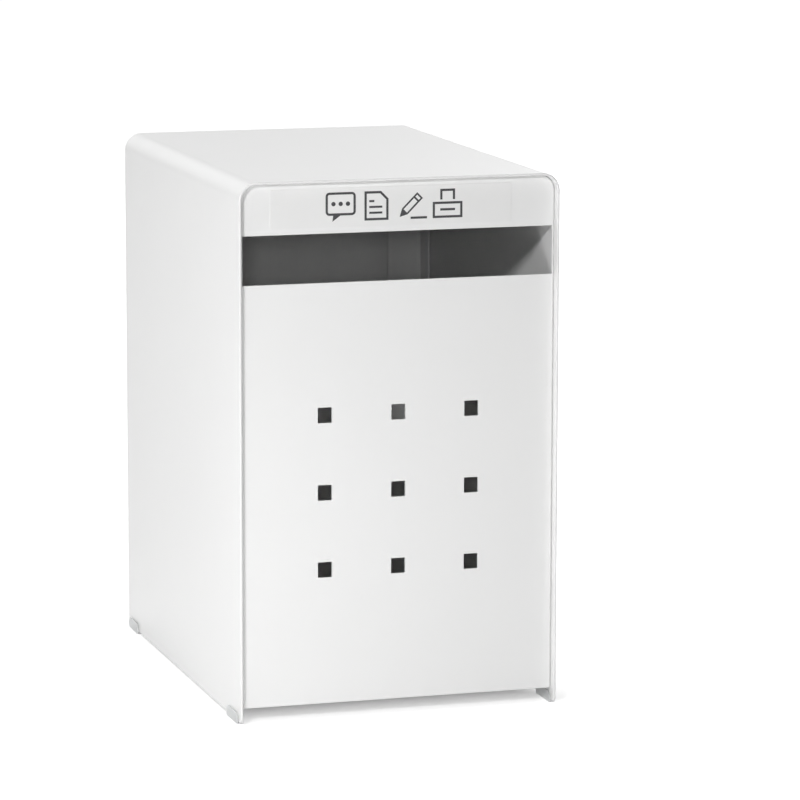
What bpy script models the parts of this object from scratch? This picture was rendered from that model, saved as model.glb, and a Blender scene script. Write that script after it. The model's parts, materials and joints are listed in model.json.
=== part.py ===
"""A small suggestion box in folded sheet steel, as an assembly of its separate pieces.

The box stands on the plane z = 0 with its front towards -Y. The origin is under its middle.
All sizes are in metres. The pieces lie about a seat gap apart where they touch.
"""

import math

import bmesh
import bpy
from mathutils import Matrix, Vector

# Outer shell: the left side, the top and the right side in one bent sheet
SHELL_WIDTH = 0.135
SHELL_DEPTH = 0.196
SHELL_HEIGHT = 0.2207
SHELL_TOP_RADIUS = 0.0075
SHELL_FRONT_CORNER_RADIUS = 0.002
SHELL_REAR_CORNER_RADIUS = 0.004
SHEET = 0.001
FLOOR_GAP = 0.001

# Front sheet: the nameplate, the paper slot and the panel below it
FRONT_RECESS = 0.0032
UNDER_CLEARANCE = 0.0055
FRONT_PANEL_BEND = 0.0013
FRONT_PANEL_FLANGE = 0.015
SLOT_HEIGHT = 0.020
SLOT_END_INSET = 0.0011
NAMEPLATE_HEIGHT = 0.0206

# Windows in the front panel
WINDOW_ROWS = 3
WINDOW_COLUMNS = 3
WINDOW_WIDTH = 0.006
WINDOW_HEIGHT = 0.0064
WINDOW_PITCH_ACROSS = 0.0311
WINDOW_PITCH_DOWN = 0.03187
WINDOW_GRID_RISE = 0.0008

# Label on the nameplate
LABEL_WIDTH = 0.1016
LABEL_HEIGHT = 0.0158
LABEL_THICKNESS = 0.00015
LABEL_CORNER_RADIUS = 0.0008
LABEL_SHIFT_ACROSS = -0.003
LABEL_GLUE = 0.00005

# Base tray
TRAY_DEPTH = 0.009
TRAY_BEND = 0.0015
TRAY_CORNER_RADIUS = 0.002

# Rear frame and its opening
FRAME_DEPTH = 0.012
FRAME_BEND = 0.0015
FRAME_BOTTOM_RADIUS = 0.002
FRAME_SIDE_LIP = 0.0162
FRAME_TOP_LIP = 0.0144
FRAME_BOTTOM_LIP = 0.0115
FRAME_OPENING_RADIUS = 0.003

# Rear door
DOOR_RECESS = 0.0025
DOOR_DEPTH = 0.0095
DOOR_BEND = 0.0015
DOOR_EDGE_GAP = 0.001
DOOR_SMALL_RADIUS = 0.002

# Door hinge, on an upright pin at the right side
HINGE_LENGTH = 0.180
HINGE_KNUCKLES = 9
HINGE_KNUCKLE_RADIUS = 0.0022
HINGE_KNUCKLE_GAP = 0.0004
HINGE_LEAF_THICKNESS = 0.001
HINGE_LEAF_WIDTH = 0.0086
HINGE_INSET = 0.0024
HINGE_PIN_RADIUS = 0.001
HINGE_PIN_HEAD_RADIUS = 0.0017
HINGE_PIN_HEAD_HEIGHT = 0.0008

# Rivets of the hinge and of the base tray
RIVET_RADIUS = 0.0015
RIVET_HEAD_RADIUS = 0.0028
RIVET_HEAD_HEIGHT = 0.001
RIVET_TAIL_RADIUS = 0.0022
RIVET_TAIL_HEIGHT = 0.0008
HINGE_RIVETS = 4
HINGE_RIVET_OFFSET = 0.0058
BASE_RIVET_SIDE_INSET = 0.0199
BASE_RIVET_INSET = 0.0067

# Cam lock in the door
LOCK_INSET = 0.010
LOCK_HEAD_RADIUS = 0.008
LOCK_HEAD_HEIGHT = 0.0014
LOCK_HEAD_CHAMFER = 0.0004
LOCK_BARREL_RADIUS = 0.006
LOCK_PLUG_RADIUS = 0.0042
LOCK_PLUG_FLANGE_RADIUS = 0.0052
LOCK_PLUG_FLANGE_HEIGHT = 0.0008
LOCK_NUT_ACROSS_FLATS = 0.016
LOCK_NUT_HEIGHT = 0.003
KEYWAY_WIDTH = 0.002
KEYWAY_HEIGHT = 0.0064
KEYWAY_DEPTH = 0.0075
CAM_LIP_GAP = 0.001
CAM_THICKNESS = 0.0016
CAM_LENGTH = 0.017
CAM_HUB_RADIUS = 0.006
CAM_ARM_WIDTH = 0.008
CAM_SQUARE = 0.005
CAM_WASHER_RADIUS = 0.005
CAM_WASHER_THICKNESS = 0.0008
CAM_SCREW_RADIUS = 0.0013
CAM_SCREW_REACH = 0.0052
CAM_SCREW_HEAD_RADIUS = 0.0032
CAM_SCREW_HEAD_HEIGHT = 0.0018
CAM_SCREW_SLOT_WIDTH = 0.0008
CAM_SCREW_SLOT_DEPTH = 0.0008

# Feet: clear caps pushed over the bottom edges of the sides
FOOT_LENGTH = 0.017
FOOT_HEIGHT = 0.0048
FOOT_WALL = 0.0005
FOOT_FRONT_INSET = 0.0034
FOOT_REAR_INSET = 0.0034
FOOT_SOLE_RADIUS = 0.0006
FOOT_RIM_RADIUS = 0.0003

# Clearances, the overrun of cuts and the fineness of round shapes
SEAT_GAP = 0.0003
OVERRUN = 0.002
MERGE_DISTANCE = 0.00001
TOP_CORNER_STEPS = 10
SMALL_ARC_STEPS = 4
BEND_STEPS = 4
TURN_STEPS = 32
FULL_TURN = 2 * math.pi
QUARTER_TURN = math.pi / 2

# Places that follow from the sizes above
HALF_WIDTH = SHELL_WIDTH / 2
FRONT_Y = -SHELL_DEPTH / 2
REAR_Y = SHELL_DEPTH / 2
INNER_HALF_WIDTH = HALF_WIDTH - SHEET
SHELL_TOP_Z = FLOOR_GAP + SHELL_HEIGHT
INNER_TOP_Z = SHELL_TOP_Z - SHEET
FITTED_HALF_WIDTH = INNER_HALF_WIDTH - SEAT_GAP
FITTED_TOP_Z = INNER_TOP_Z - SEAT_GAP
FITTED_TOP_RADIUS = SHELL_TOP_RADIUS - SHEET - SEAT_GAP

PANEL_FACE_Y = FRONT_Y + FRONT_RECESS
PANEL_BOTTOM_Z = FLOOR_GAP + UNDER_CLEARANCE
SLOT_TOP_Z = FITTED_TOP_Z - NAMEPLATE_HEIGHT
SLOT_BOTTOM_Z = SLOT_TOP_Z - SLOT_HEIGHT
SLOT_HALF_WIDTH = FITTED_HALF_WIDTH - SLOT_END_INSET

DOOR_FACE_Y = REAR_Y - DOOR_RECESS
DOOR_INNER_Y = DOOR_FACE_Y - SHEET
FRAME_FACE_Y = DOOR_FACE_Y - DOOR_DEPTH - SEAT_GAP
FRAME_INNER_Y = FRAME_FACE_Y - SHEET
OPENING_HALF_WIDTH = FITTED_HALF_WIDTH - FRAME_SIDE_LIP
OPENING_TOP_Z = FITTED_TOP_Z - FRAME_TOP_LIP
OPENING_BOTTOM_Z = PANEL_BOTTOM_Z + FRAME_BOTTOM_LIP

TRAY_HALF_WIDTH = FITTED_HALF_WIDTH - SHEET - SEAT_GAP
TRAY_BOTTOM_Z = PANEL_BOTTOM_Z + SHEET + SEAT_GAP
TRAY_FRONT_Y = PANEL_FACE_Y + SHEET + SEAT_GAP
TRAY_REAR_Y = FRAME_INNER_Y - SEAT_GAP

HINGE_AXIS_X = INNER_HALF_WIDTH - SEAT_GAP - HINGE_KNUCKLE_RADIUS
HINGE_AXIS_Y = REAR_Y - HINGE_INSET
DOOR_HINGE_X = HINGE_AXIS_X - HINGE_KNUCKLE_RADIUS - SEAT_GAP
DOOR_FREE_X = -INNER_HALF_WIDTH + DOOR_EDGE_GAP
DOOR_TOP_Z = INNER_TOP_Z - DOOR_EDGE_GAP
DOOR_TOP_RADIUS = SHELL_TOP_RADIUS - SHEET - DOOR_EDGE_GAP
DOOR_MIDDLE_Z = (PANEL_BOTTOM_Z + DOOR_TOP_Z) / 2
HINGE_BOTTOM_Z = DOOR_MIDDLE_Z - HINGE_LENGTH / 2
HINGE_PITCH = HINGE_LENGTH / HINGE_KNUCKLES
HINGE_RIVET_Y = HINGE_AXIS_Y - HINGE_RIVET_OFFSET
RIVET_HOLE_RADIUS = RIVET_RADIUS + SEAT_GAP

LOCK_X = -OPENING_HALF_WIDTH + LOCK_INSET
LOCK_Z = DOOR_MIDDLE_Z
LOCK_BORE_RADIUS = LOCK_PLUG_RADIUS + SEAT_GAP
LOCK_HOLE_RADIUS = LOCK_BARREL_RADIUS + SEAT_GAP
LOCK_TOP_Y = DOOR_FACE_Y + SEAT_GAP + LOCK_HEAD_HEIGHT
CAM_OUTER_Y = FRAME_INNER_Y - CAM_LIP_GAP
CAM_INNER_Y = CAM_OUTER_Y - CAM_THICKNESS
BARREL_END_Y = CAM_OUTER_Y + SEAT_GAP
PLUG_TAIL_END_Y = CAM_INNER_Y + SEAT_GAP
WASHER_OUTER_Y = CAM_INNER_Y - SEAT_GAP
WASHER_INNER_Y = WASHER_OUTER_Y - CAM_WASHER_THICKNESS
SCREW_SEAT_Y = WASHER_INNER_Y - SEAT_GAP
SCREW_HOLE_RADIUS = CAM_SCREW_RADIUS + SEAT_GAP
SCREW_TIP_Y = PLUG_TAIL_END_Y + CAM_SCREW_REACH


def new_collection(name):
    """Makes a collection in the scene."""
    group = bpy.data.collections.new(name)
    bpy.context.scene.collection.children.link(group)
    return group


def clear_scene():
    """Removes the objects that the scene starts with."""
    for thing in list(bpy.data.objects):
        bpy.data.objects.remove(thing, do_unlink=True)


def make_finish(name, colour, roughness, metallic):
    """A plain material of one colour."""
    material = bpy.data.materials.new(name)
    material.use_nodes = True
    shader = material.node_tree.nodes["Principled BSDF"]
    shader.inputs["Base Color"].default_value = (*colour, 1)
    shader.inputs["Roughness"].default_value = roughness
    shader.inputs["Metallic"].default_value = metallic
    return material


def add_object(name, mesh, material):
    """Puts a mesh in the box's collection under its own name, with its own material."""
    mesh.name = name
    thing = bpy.data.objects.new(name, mesh)
    parts.objects.link(thing)
    mesh.materials.append(make_finish(name + "_finish", *material))
    return thing


def add_cutter(name, mesh):
    """Puts a mesh among the cutters, which aren't part of the box."""
    mesh.name = name
    cutter = bpy.data.objects.new(name, mesh)
    cutters.objects.link(cutter)
    cutter.hide_render = True
    cutter.display_type = "WIRE"
    return cutter


def finished_mesh(shape, name):
    """Turns a bmesh into a mesh."""
    mesh = bpy.data.meshes.new(name)
    shape.to_mesh(mesh)
    shape.free()
    return mesh


def smooth_round_faces(thing):
    """Shades a round piece smooth, with its real edges kept sharp."""
    thing.data.shade_smooth()
    thing.data.set_sharp_from_angle(angle=math.radians(35))


def combine(thing, tool, operation):
    """Cuts a tool out of a piece, or joins it on."""
    boolean = thing.modifiers.new(operation.title(), "BOOLEAN")
    boolean.operation = operation
    boolean.solver = "EXACT"
    boolean.object = tool


def thicken(thing, thickness):
    """Gives an open surface its thickness, on the side away from its normals."""
    solidify = thing.modifiers.new("Thickness", "SOLIDIFY")
    solidify.thickness = thickness
    solidify.offset = -1
    solidify.use_even_offset = True
    solidify.use_quality_normals = True


def arc(centre_u, centre_v, radius, start, end, steps):
    """Points on an arc, both ends included."""
    angles = [start + (end - start) * step / steps for step in range(steps + 1)]
    return [(centre_u + radius * math.cos(a), centre_v + radius * math.sin(a)) for a in angles]


def circle(centre_u, centre_v, radius, steps):
    """Points round a circle."""
    return arc(centre_u, centre_v, radius, 0, FULL_TURN, steps)[:-1]


def rounded_rectangle(u0, u1, v0, v1, radii, steps):
    """A rectangle's outline with a radius for each corner: low left, low right, high right, high left."""
    low_left, low_right, high_right, high_left = radii
    outline = arc(u0 + low_left, v0 + low_left, low_left, math.pi, math.pi + QUARTER_TURN, steps)
    outline += arc(u1 - low_right, v0 + low_right, low_right, -QUARTER_TURN, 0, steps)
    outline += arc(u1 - high_right, v1 - high_right, high_right, 0, QUARTER_TURN, steps)
    outline += arc(u0 + high_left, v1 - high_left, high_left, QUARTER_TURN, math.pi, steps)
    return outline


def box_cutter(name, boxes):
    """A cutter of separate boxes, each given by its low and high corner."""
    shape = bmesh.new()
    for low, high in boxes:
        low, high = Vector(low), Vector(high)
        placing = Matrix.Translation((low + high) / 2) @ Matrix.Diagonal((*(high - low), 1))
        bmesh.ops.create_cube(shape, size=1, matrix=placing)
    return add_cutter(name, finished_mesh(shape, name))


def rod_cutter(name, radius, ends):
    """A cutter of separate round rods of one radius, each given by its two ends."""
    shape = bmesh.new()
    for start, end in ends:
        start, end = Vector(start), Vector(end)
        along = (end - start).to_track_quat("Z", "Y").to_matrix().to_4x4()
        placing = Matrix.Translation((start + end) / 2) @ along
        bmesh.ops.create_cone(
            shape, cap_ends=True, segments=TURN_STEPS, radius1=radius, radius2=radius,
            depth=(end - start).length, matrix=placing,
        )
    return add_cutter(name, finished_mesh(shape, name))


def folded_sheet(name, path, sweep, material, corner_radii):
    """A bent sheet: a path swept along one direction.

    The corners' radii are those at the path's start near and far, then at its end near and far.
    """
    shape = bmesh.new()
    near = [shape.verts.new(point) for point in path]
    far = [shape.verts.new(Vector(point) + Vector(sweep)) for point in path]
    for quad in zip(near, near[1:], far[1:], far):
        shape.faces.new(quad)
    corners = (near[0], far[0], near[-1], far[-1])
    for corner, radius in zip(corners, corner_radii):
        bmesh.ops.bevel(
            shape, geom=[corner], offset=radius, segments=SMALL_ARC_STEPS,
            profile=0.5, affect="VERTICES",
        )
    thing = add_object(name, finished_mesh(shape, name), material)
    thicken(thing, SHEET)
    return thing


def pan(name, outline, to_world, face_level, wall, bend, material):
    """A tray: a flat face at one level, with a wall folded from its whole outline."""
    shape = bmesh.new()
    face_ring = [shape.verts.new(to_world(u, v, face_level)) for u, v in outline]
    wall_ring = [shape.verts.new(to_world(u, v, face_level + wall)) for u, v in outline]
    count = len(outline)
    for i in range(count):
        j = (i + 1) % count
        shape.faces.new((face_ring[i], face_ring[j], wall_ring[j], wall_ring[i]))
    face = shape.faces.new(list(reversed(face_ring)))
    bmesh.ops.bevel(
        shape, geom=list(face.edges), offset=bend, segments=BEND_STEPS, profile=0.5, affect="EDGES",
    )
    thing = add_object(name, finished_mesh(shape, name), material)
    thicken(thing, SHEET)
    return thing


def upright_plane(u, v, w):
    """Takes an outline across and up, with its level along Y."""
    return Vector((u, w, v))


def level_plane(u, v, w):
    """Takes an outline across and back, with its level along Z."""
    return Vector((u, v, w))


def outline_solid(name, loops, thickness, material):
    """A flat outline and its holes, with its thickness along Z about its middle."""
    curve = bpy.data.curves.new(name, "CURVE")
    curve.dimensions = "2D"
    curve.fill_mode = "BOTH"
    curve.extrude = thickness / 2
    for loop in loops:
        spline = curve.splines.new("POLY")
        spline.points.add(len(loop) - 1)
        for point, (u, v) in zip(spline.points, loop):
            point.co = (u, v, 0, 1)
        spline.use_cyclic_u = True
    holder = bpy.data.objects.new(name + "_outline", curve)
    parts.objects.link(holder)
    bpy.context.view_layer.update()
    evaluated = holder.evaluated_get(bpy.context.evaluated_depsgraph_get())
    mesh = bpy.data.meshes.new_from_object(evaluated)
    bpy.data.objects.remove(holder, do_unlink=True)
    shape = bmesh.new()
    shape.from_mesh(mesh)
    bmesh.ops.remove_doubles(shape, verts=shape.verts, dist=MERGE_DISTANCE)
    shape.to_mesh(mesh)
    shape.free()
    return add_object(name, mesh, material)


def turned(name, profile, material, closed=False):
    """A turned piece about its own Z axis, from radius and height pairs down its outer side."""
    shape = bmesh.new()
    points = [shape.verts.new((radius, 0, height)) for radius, height in profile]
    for a, b in zip(points, points[1:]):
        shape.edges.new((a, b))
    if closed:
        shape.edges.new((points[-1], points[0]))
    thing = add_object(name, finished_mesh(shape, name), material)
    screw = thing.modifiers.new("Turned", "SCREW")
    screw.steps = TURN_STEPS
    screw.render_steps = TURN_STEPS
    screw.use_merge_vertices = True
    screw.merge_threshold = MERGE_DISTANCE
    screw.use_smooth_shade = True
    return thing


def face_rear(thing, x, y, z):
    """Places a piece with its own Z axis pointing to the rear."""
    thing.rotation_euler = (-QUARTER_TURN, 0, 0)
    thing.location = (x, y, z)


def face_left(thing, x, y, z):
    """Places a piece with its own Z axis pointing to the left."""
    thing.rotation_euler = (0, -QUARTER_TURN, 0)
    thing.location = (x, y, z)


def face_up(thing, x, y, z):
    """Places a piece with its own Z axis upright."""
    thing.location = (x, y, z)


def add_axis(name, location, parent=None):
    """An empty on a joint's axis, which carries the pieces that turn about it."""
    axis = bpy.data.objects.new(name, None)
    parts.objects.link(axis)
    axis.location = location
    axis.empty_display_size = SHEET
    if parent:
        carry(parent, [axis])
    bpy.context.view_layer.update()
    return axis


def carry(axis, things):
    """Parents pieces to a joint's empty, and leaves them where they are."""
    for thing in things:
        thing.parent = axis
        thing.matrix_parent_inverse = axis.matrix_world.inverted()


# Finishes: colour, roughness, metallic value
WHITE_COAT = ((0.83, 0.83, 0.82), 0.42, 0.0)
LABEL_FILM = ((0.86, 0.86, 0.85), 0.35, 0.0)
ZINC_STEEL = ((0.62, 0.62, 0.60), 0.38, 1.0)
BRIGHT_CHROME = ((0.78, 0.78, 0.79), 0.15, 1.0)
CLEAR_RUBBER = ((0.80, 0.82, 0.82), 0.30, 0.0)


def make_shell():
    """The bent sheet that makes both sides and the top."""
    turn_x = HALF_WIDTH - SHELL_TOP_RADIUS
    turn_z = SHELL_TOP_Z - SHELL_TOP_RADIUS
    outline = [(-HALF_WIDTH, FLOOR_GAP)]
    outline += arc(-turn_x, turn_z, SHELL_TOP_RADIUS, math.pi, QUARTER_TURN, TOP_CORNER_STEPS)
    outline += arc(turn_x, turn_z, SHELL_TOP_RADIUS, QUARTER_TURN, 0, TOP_CORNER_STEPS)
    outline += [(HALF_WIDTH, FLOOR_GAP)]
    path = [(x, FRONT_Y, z) for x, z in outline]
    radii = (SHELL_FRONT_CORNER_RADIUS, SHELL_REAR_CORNER_RADIUS) * 2
    shell = folded_sheet("outer_shell", path, (0, SHELL_DEPTH, 0), WHITE_COAT, radii)
    smooth_round_faces(shell)


def make_label():
    """The thin sticker on the nameplate."""
    half_width = LABEL_WIDTH / 2
    half_height = LABEL_HEIGHT / 2
    radii = (LABEL_CORNER_RADIUS,) * 4
    outline = rounded_rectangle(
        -half_width, half_width, -half_height, half_height, radii, SMALL_ARC_STEPS,
    )
    label = outline_solid("label_sticker", [outline], LABEL_THICKNESS, LABEL_FILM)
    middle_y = PANEL_FACE_Y - LABEL_GLUE - LABEL_THICKNESS / 2
    face_rear(label, LABEL_SHIFT_ACROSS, middle_y, (SLOT_TOP_Z + FITTED_TOP_Z) / 2)


def front_boxes():
    """The boxes that cut the front sheet: the slot, all below its bottom edge, and the windows."""
    low_y = PANEL_FACE_Y - OVERRUN
    high_y = PANEL_FACE_Y + SHEET + OVERRUN
    boxes = [
        ((-SLOT_HALF_WIDTH, low_y, SLOT_BOTTOM_Z), (SLOT_HALF_WIDTH, high_y, SLOT_TOP_Z)),
        (
            (-HALF_WIDTH, low_y, PANEL_BOTTOM_Z - FRONT_PANEL_FLANGE - OVERRUN),
            (HALF_WIDTH, high_y + FRONT_PANEL_FLANGE, PANEL_BOTTOM_Z),
        ),
    ]
    grid_z = (PANEL_BOTTOM_Z + SLOT_BOTTOM_Z) / 2 + WINDOW_GRID_RISE
    for row in range(WINDOW_ROWS):
        middle_z = grid_z + ((WINDOW_ROWS - 1) / 2 - row) * WINDOW_PITCH_DOWN
        for column in range(WINDOW_COLUMNS):
            middle_x = (column - (WINDOW_COLUMNS - 1) / 2) * WINDOW_PITCH_ACROSS
            low = (middle_x - WINDOW_WIDTH / 2, low_y, middle_z - WINDOW_HEIGHT / 2)
            high = (middle_x + WINDOW_WIDTH / 2, high_y, middle_z + WINDOW_HEIGHT / 2)
            boxes.append((low, high))
    return boxes


def make_front_panel():
    """The front sheet, folded back at its sides and top, with its slot and windows cut through."""
    outline = rounded_rectangle(
        -FITTED_HALF_WIDTH, FITTED_HALF_WIDTH, PANEL_BOTTOM_Z - FRONT_PANEL_FLANGE, FITTED_TOP_Z,
        (FITTED_TOP_RADIUS,) * 4, SMALL_ARC_STEPS,
    )
    # The outline runs the other way round, so that the sheet's outer side looks to the front.
    panel = pan(
        "front_panel", outline[::-1], upright_plane, PANEL_FACE_Y, FRONT_PANEL_FLANGE, FRONT_PANEL_BEND,
        WHITE_COAT,
    )
    combine(panel, box_cutter("front_cutter", front_boxes()), "DIFFERENCE")


def base_rivet_places():
    """Where the base rivets stand, left and right."""
    x = TRAY_HALF_WIDTH - BASE_RIVET_SIDE_INSET
    y = FRAME_FACE_Y - BASE_RIVET_INSET
    return {"left": (-x, y), "right": (x, y)}


def base_rivet_holes():
    """The cutter for the base rivets' holes, through the tray and the frame."""
    low_z = PANEL_BOTTOM_Z - OVERRUN
    high_z = TRAY_BOTTOM_Z + SHEET + OVERRUN
    ends = [((x, y, low_z), (x, y, high_z)) for x, y in base_rivet_places().values()]
    return rod_cutter("base_rivet_cutter", RIVET_HOLE_RADIUS, ends)


def make_base_tray(holes):
    """The floor of the box, with a low wall all round."""
    radii = (TRAY_CORNER_RADIUS,) * 4
    outline = rounded_rectangle(
        -TRAY_HALF_WIDTH, TRAY_HALF_WIDTH, TRAY_FRONT_Y, TRAY_REAR_Y, radii, SMALL_ARC_STEPS,
    )
    tray = pan("base_tray", outline, level_plane, TRAY_BOTTOM_Z, TRAY_DEPTH, TRAY_BEND, WHITE_COAT)
    combine(tray, holes, "DIFFERENCE")


def make_rear_frame(holes):
    """The frame round the rear opening, with its rim folded forward against the shell."""
    radii = (FRAME_BOTTOM_RADIUS, FRAME_BOTTOM_RADIUS, FITTED_TOP_RADIUS, FITTED_TOP_RADIUS)
    outline = rounded_rectangle(
        -FITTED_HALF_WIDTH, FITTED_HALF_WIDTH, PANEL_BOTTOM_Z, FITTED_TOP_Z, radii, SMALL_ARC_STEPS,
    )
    frame = pan("rear_frame", outline, upright_plane, FRAME_FACE_Y, -FRAME_DEPTH, FRAME_BEND, WHITE_COAT)
    opening = rounded_rectangle(
        -OPENING_HALF_WIDTH, OPENING_HALF_WIDTH, OPENING_BOTTOM_Z, OPENING_TOP_Z,
        (FRAME_OPENING_RADIUS,) * 4, SMALL_ARC_STEPS,
    )
    shape = bmesh.new()
    face = shape.faces.new([shape.verts.new((x, FRAME_INNER_Y - OVERRUN, z)) for x, z in opening])
    moved = bmesh.ops.extrude_face_region(shape, geom=[face])["geom"]
    corners = [item for item in moved if isinstance(item, bmesh.types.BMVert)]
    bmesh.ops.translate(shape, verts=corners, vec=(0, SHEET + 2 * OVERRUN, 0))
    bmesh.ops.recalc_face_normals(shape, faces=shape.faces)
    combine(frame, add_cutter("opening_cutter", finished_mesh(shape, "opening_cutter")), "DIFFERENCE")
    combine(frame, holes, "DIFFERENCE")


def make_rivet(name, grip, x, y, z, place):
    """A rivet through two sheets: its head lies before them, and its tail behind them."""
    top = grip / 2
    profile = [
        (0, top + RIVET_HEAD_HEIGHT),
        (RIVET_HEAD_RADIUS - RIVET_HEAD_HEIGHT, top + RIVET_HEAD_HEIGHT),
        (RIVET_HEAD_RADIUS, top),
        (RIVET_RADIUS, top),
        (RIVET_RADIUS, -top),
        (RIVET_TAIL_RADIUS, -top),
        (RIVET_TAIL_RADIUS, -top - RIVET_TAIL_HEIGHT),
        (0, -top - RIVET_TAIL_HEIGHT),
    ]
    rivet = turned(name, profile, ZINC_STEEL)
    place(rivet, x, y, z)
    return rivet


def make_base_rivets():
    """The two rivets that join the tray to the frame's bottom rim."""
    grip = 2 * SHEET + 3 * SEAT_GAP
    middle_z = PANEL_BOTTOM_Z + SHEET + SEAT_GAP / 2
    for side, (x, y) in base_rivet_places().items():
        make_rivet("base_rivet_" + side, grip, x, y, middle_z, face_up)


def hinge_rivet_heights():
    """The heights of the rivets, evenly spread along the hinge."""
    return [HINGE_BOTTOM_Z + HINGE_LENGTH * (i + 0.5) / HINGE_RIVETS for i in range(HINGE_RIVETS)]


def hinge_rivet_holes():
    """The cutter for the hinge rivets' holes, through the door's side and the hinge's leaf."""
    low_x = DOOR_HINGE_X - SHEET - OVERRUN
    high_x = HINGE_AXIS_X - HINGE_KNUCKLE_RADIUS + HINGE_LEAF_THICKNESS + OVERRUN
    ends = [((low_x, HINGE_RIVET_Y, z), (high_x, HINGE_RIVET_Y, z)) for z in hinge_rivet_heights()]
    return rod_cutter("hinge_rivet_cutter", RIVET_HOLE_RADIUS, ends)


def make_hinge_rivets():
    """The rivets that hold the hinge's leaf to the door, with their heads inside the door."""
    grip = SHEET + HINGE_LEAF_THICKNESS + 3 * SEAT_GAP
    middle_x = DOOR_HINGE_X - SHEET - SEAT_GAP + grip / 2
    rivets = []
    for number, z in enumerate(hinge_rivet_heights(), start=1):
        name = f"hinge_rivet_{number}"
        rivets.append(make_rivet(name, grip, middle_x, HINGE_RIVET_Y, z, face_left))
    return rivets


def make_rear_door(rivet_holes):
    """The rear door, with its rim folded forward against the frame."""
    radii = (DOOR_SMALL_RADIUS, DOOR_SMALL_RADIUS, DOOR_SMALL_RADIUS, DOOR_TOP_RADIUS)
    outline = rounded_rectangle(
        DOOR_FREE_X, DOOR_HINGE_X, PANEL_BOTTOM_Z, DOOR_TOP_Z, radii, SMALL_ARC_STEPS,
    )
    door = pan("rear_door", outline, upright_plane, DOOR_FACE_Y, -DOOR_DEPTH, DOOR_BEND, WHITE_COAT)
    ends = [((LOCK_X, DOOR_INNER_Y - OVERRUN, LOCK_Z), (LOCK_X, DOOR_FACE_Y + OVERRUN, LOCK_Z))]
    combine(door, rod_cutter("lock_hole_cutter", LOCK_HOLE_RADIUS, ends), "DIFFERENCE")
    combine(door, rivet_holes, "DIFFERENCE")
    return door


def leaf_outline(side):
    """A hinge leaf's section: a plate that ends in a knuckle round the pin. Side is 1 or -1."""
    plate_inner = HINGE_KNUCKLE_RADIUS - HINGE_LEAF_THICKNESS
    meeting = math.acos(plate_inner / HINGE_KNUCKLE_RADIUS)
    outline = [(HINGE_KNUCKLE_RADIUS, -HINGE_LEAF_WIDTH)]
    outline += arc(0, 0, HINGE_KNUCKLE_RADIUS, 0, FULL_TURN - meeting, TURN_STEPS // 2)
    outline += [(plate_inner, -HINGE_LEAF_WIDTH)]
    return [(side * u, v) for u, v in outline]


def knuckle_notches(name, own_share):
    """The cutter that clears the other leaf's knuckles. Own share is 0 for the even ones, 1 for the odd."""
    reach = HINGE_KNUCKLE_RADIUS + HINGE_KNUCKLE_GAP
    boxes = []
    for number in range(HINGE_KNUCKLES):
        if number % 2 == own_share:
            continue
        low_z = HINGE_BOTTOM_Z + number * HINGE_PITCH - HINGE_KNUCKLE_GAP / 2
        high_z = low_z + HINGE_PITCH + HINGE_KNUCKLE_GAP
        if number == 0:
            low_z -= OVERRUN
        if number == HINGE_KNUCKLES - 1:
            high_z += OVERRUN
        low = (HINGE_AXIS_X - reach - OVERRUN, HINGE_AXIS_Y - reach, low_z)
        high = (HINGE_AXIS_X + reach + OVERRUN, HINGE_AXIS_Y + reach + OVERRUN, high_z)
        boxes.append((low, high))
    return box_cutter(name, boxes)


def make_hinge_leaf(name, side, own_share):
    """One leaf of the hinge, with every second knuckle."""
    bore = circle(0, 0, HINGE_PIN_RADIUS + SEAT_GAP, TURN_STEPS // 2)
    leaf = outline_solid(name, [leaf_outline(side), bore], HINGE_LENGTH, ZINC_STEEL)
    leaf.location = (HINGE_AXIS_X, HINGE_AXIS_Y, HINGE_BOTTOM_Z + HINGE_LENGTH / 2)
    combine(leaf, knuckle_notches(name + "_notches", own_share), "DIFFERENCE")
    return leaf


def make_hinge_pin():
    """The hinge's pin, with a head at each end."""
    shank = HINGE_LENGTH / 2 + SEAT_GAP
    end = shank + HINGE_PIN_HEAD_HEIGHT
    profile = [
        (0, end),
        (HINGE_PIN_HEAD_RADIUS, end),
        (HINGE_PIN_HEAD_RADIUS, shank),
        (HINGE_PIN_RADIUS, shank),
        (HINGE_PIN_RADIUS, -shank),
        (HINGE_PIN_HEAD_RADIUS, -shank),
        (HINGE_PIN_HEAD_RADIUS, -end),
        (0, -end),
    ]
    pin = turned("hinge_pin", profile, ZINC_STEEL)
    pin.location = (HINGE_AXIS_X, HINGE_AXIS_Y, HINGE_BOTTOM_Z + HINGE_LENGTH / 2)


def make_lock_body():
    """The lock's sleeve, whose head lies on the door's outer face."""
    seat = SEAT_GAP
    top = seat + LOCK_HEAD_HEIGHT
    recess = top - LOCK_PLUG_FLANGE_HEIGHT - SEAT_GAP
    recess_radius = LOCK_PLUG_FLANGE_RADIUS + SEAT_GAP
    end = BARREL_END_Y - DOOR_FACE_Y
    profile = [
        (recess_radius, top),
        (LOCK_HEAD_RADIUS - LOCK_HEAD_CHAMFER, top),
        (LOCK_HEAD_RADIUS, top - LOCK_HEAD_CHAMFER),
        (LOCK_HEAD_RADIUS, seat),
        (LOCK_BARREL_RADIUS, seat),
        (LOCK_BARREL_RADIUS, end),
        (LOCK_BORE_RADIUS, end),
        (LOCK_BORE_RADIUS, recess),
        (recess_radius, recess),
    ]
    body = turned("lock_body", profile, BRIGHT_CHROME, closed=True)
    face_rear(body, LOCK_X, DOOR_FACE_Y, LOCK_Z)
    return body


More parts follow.
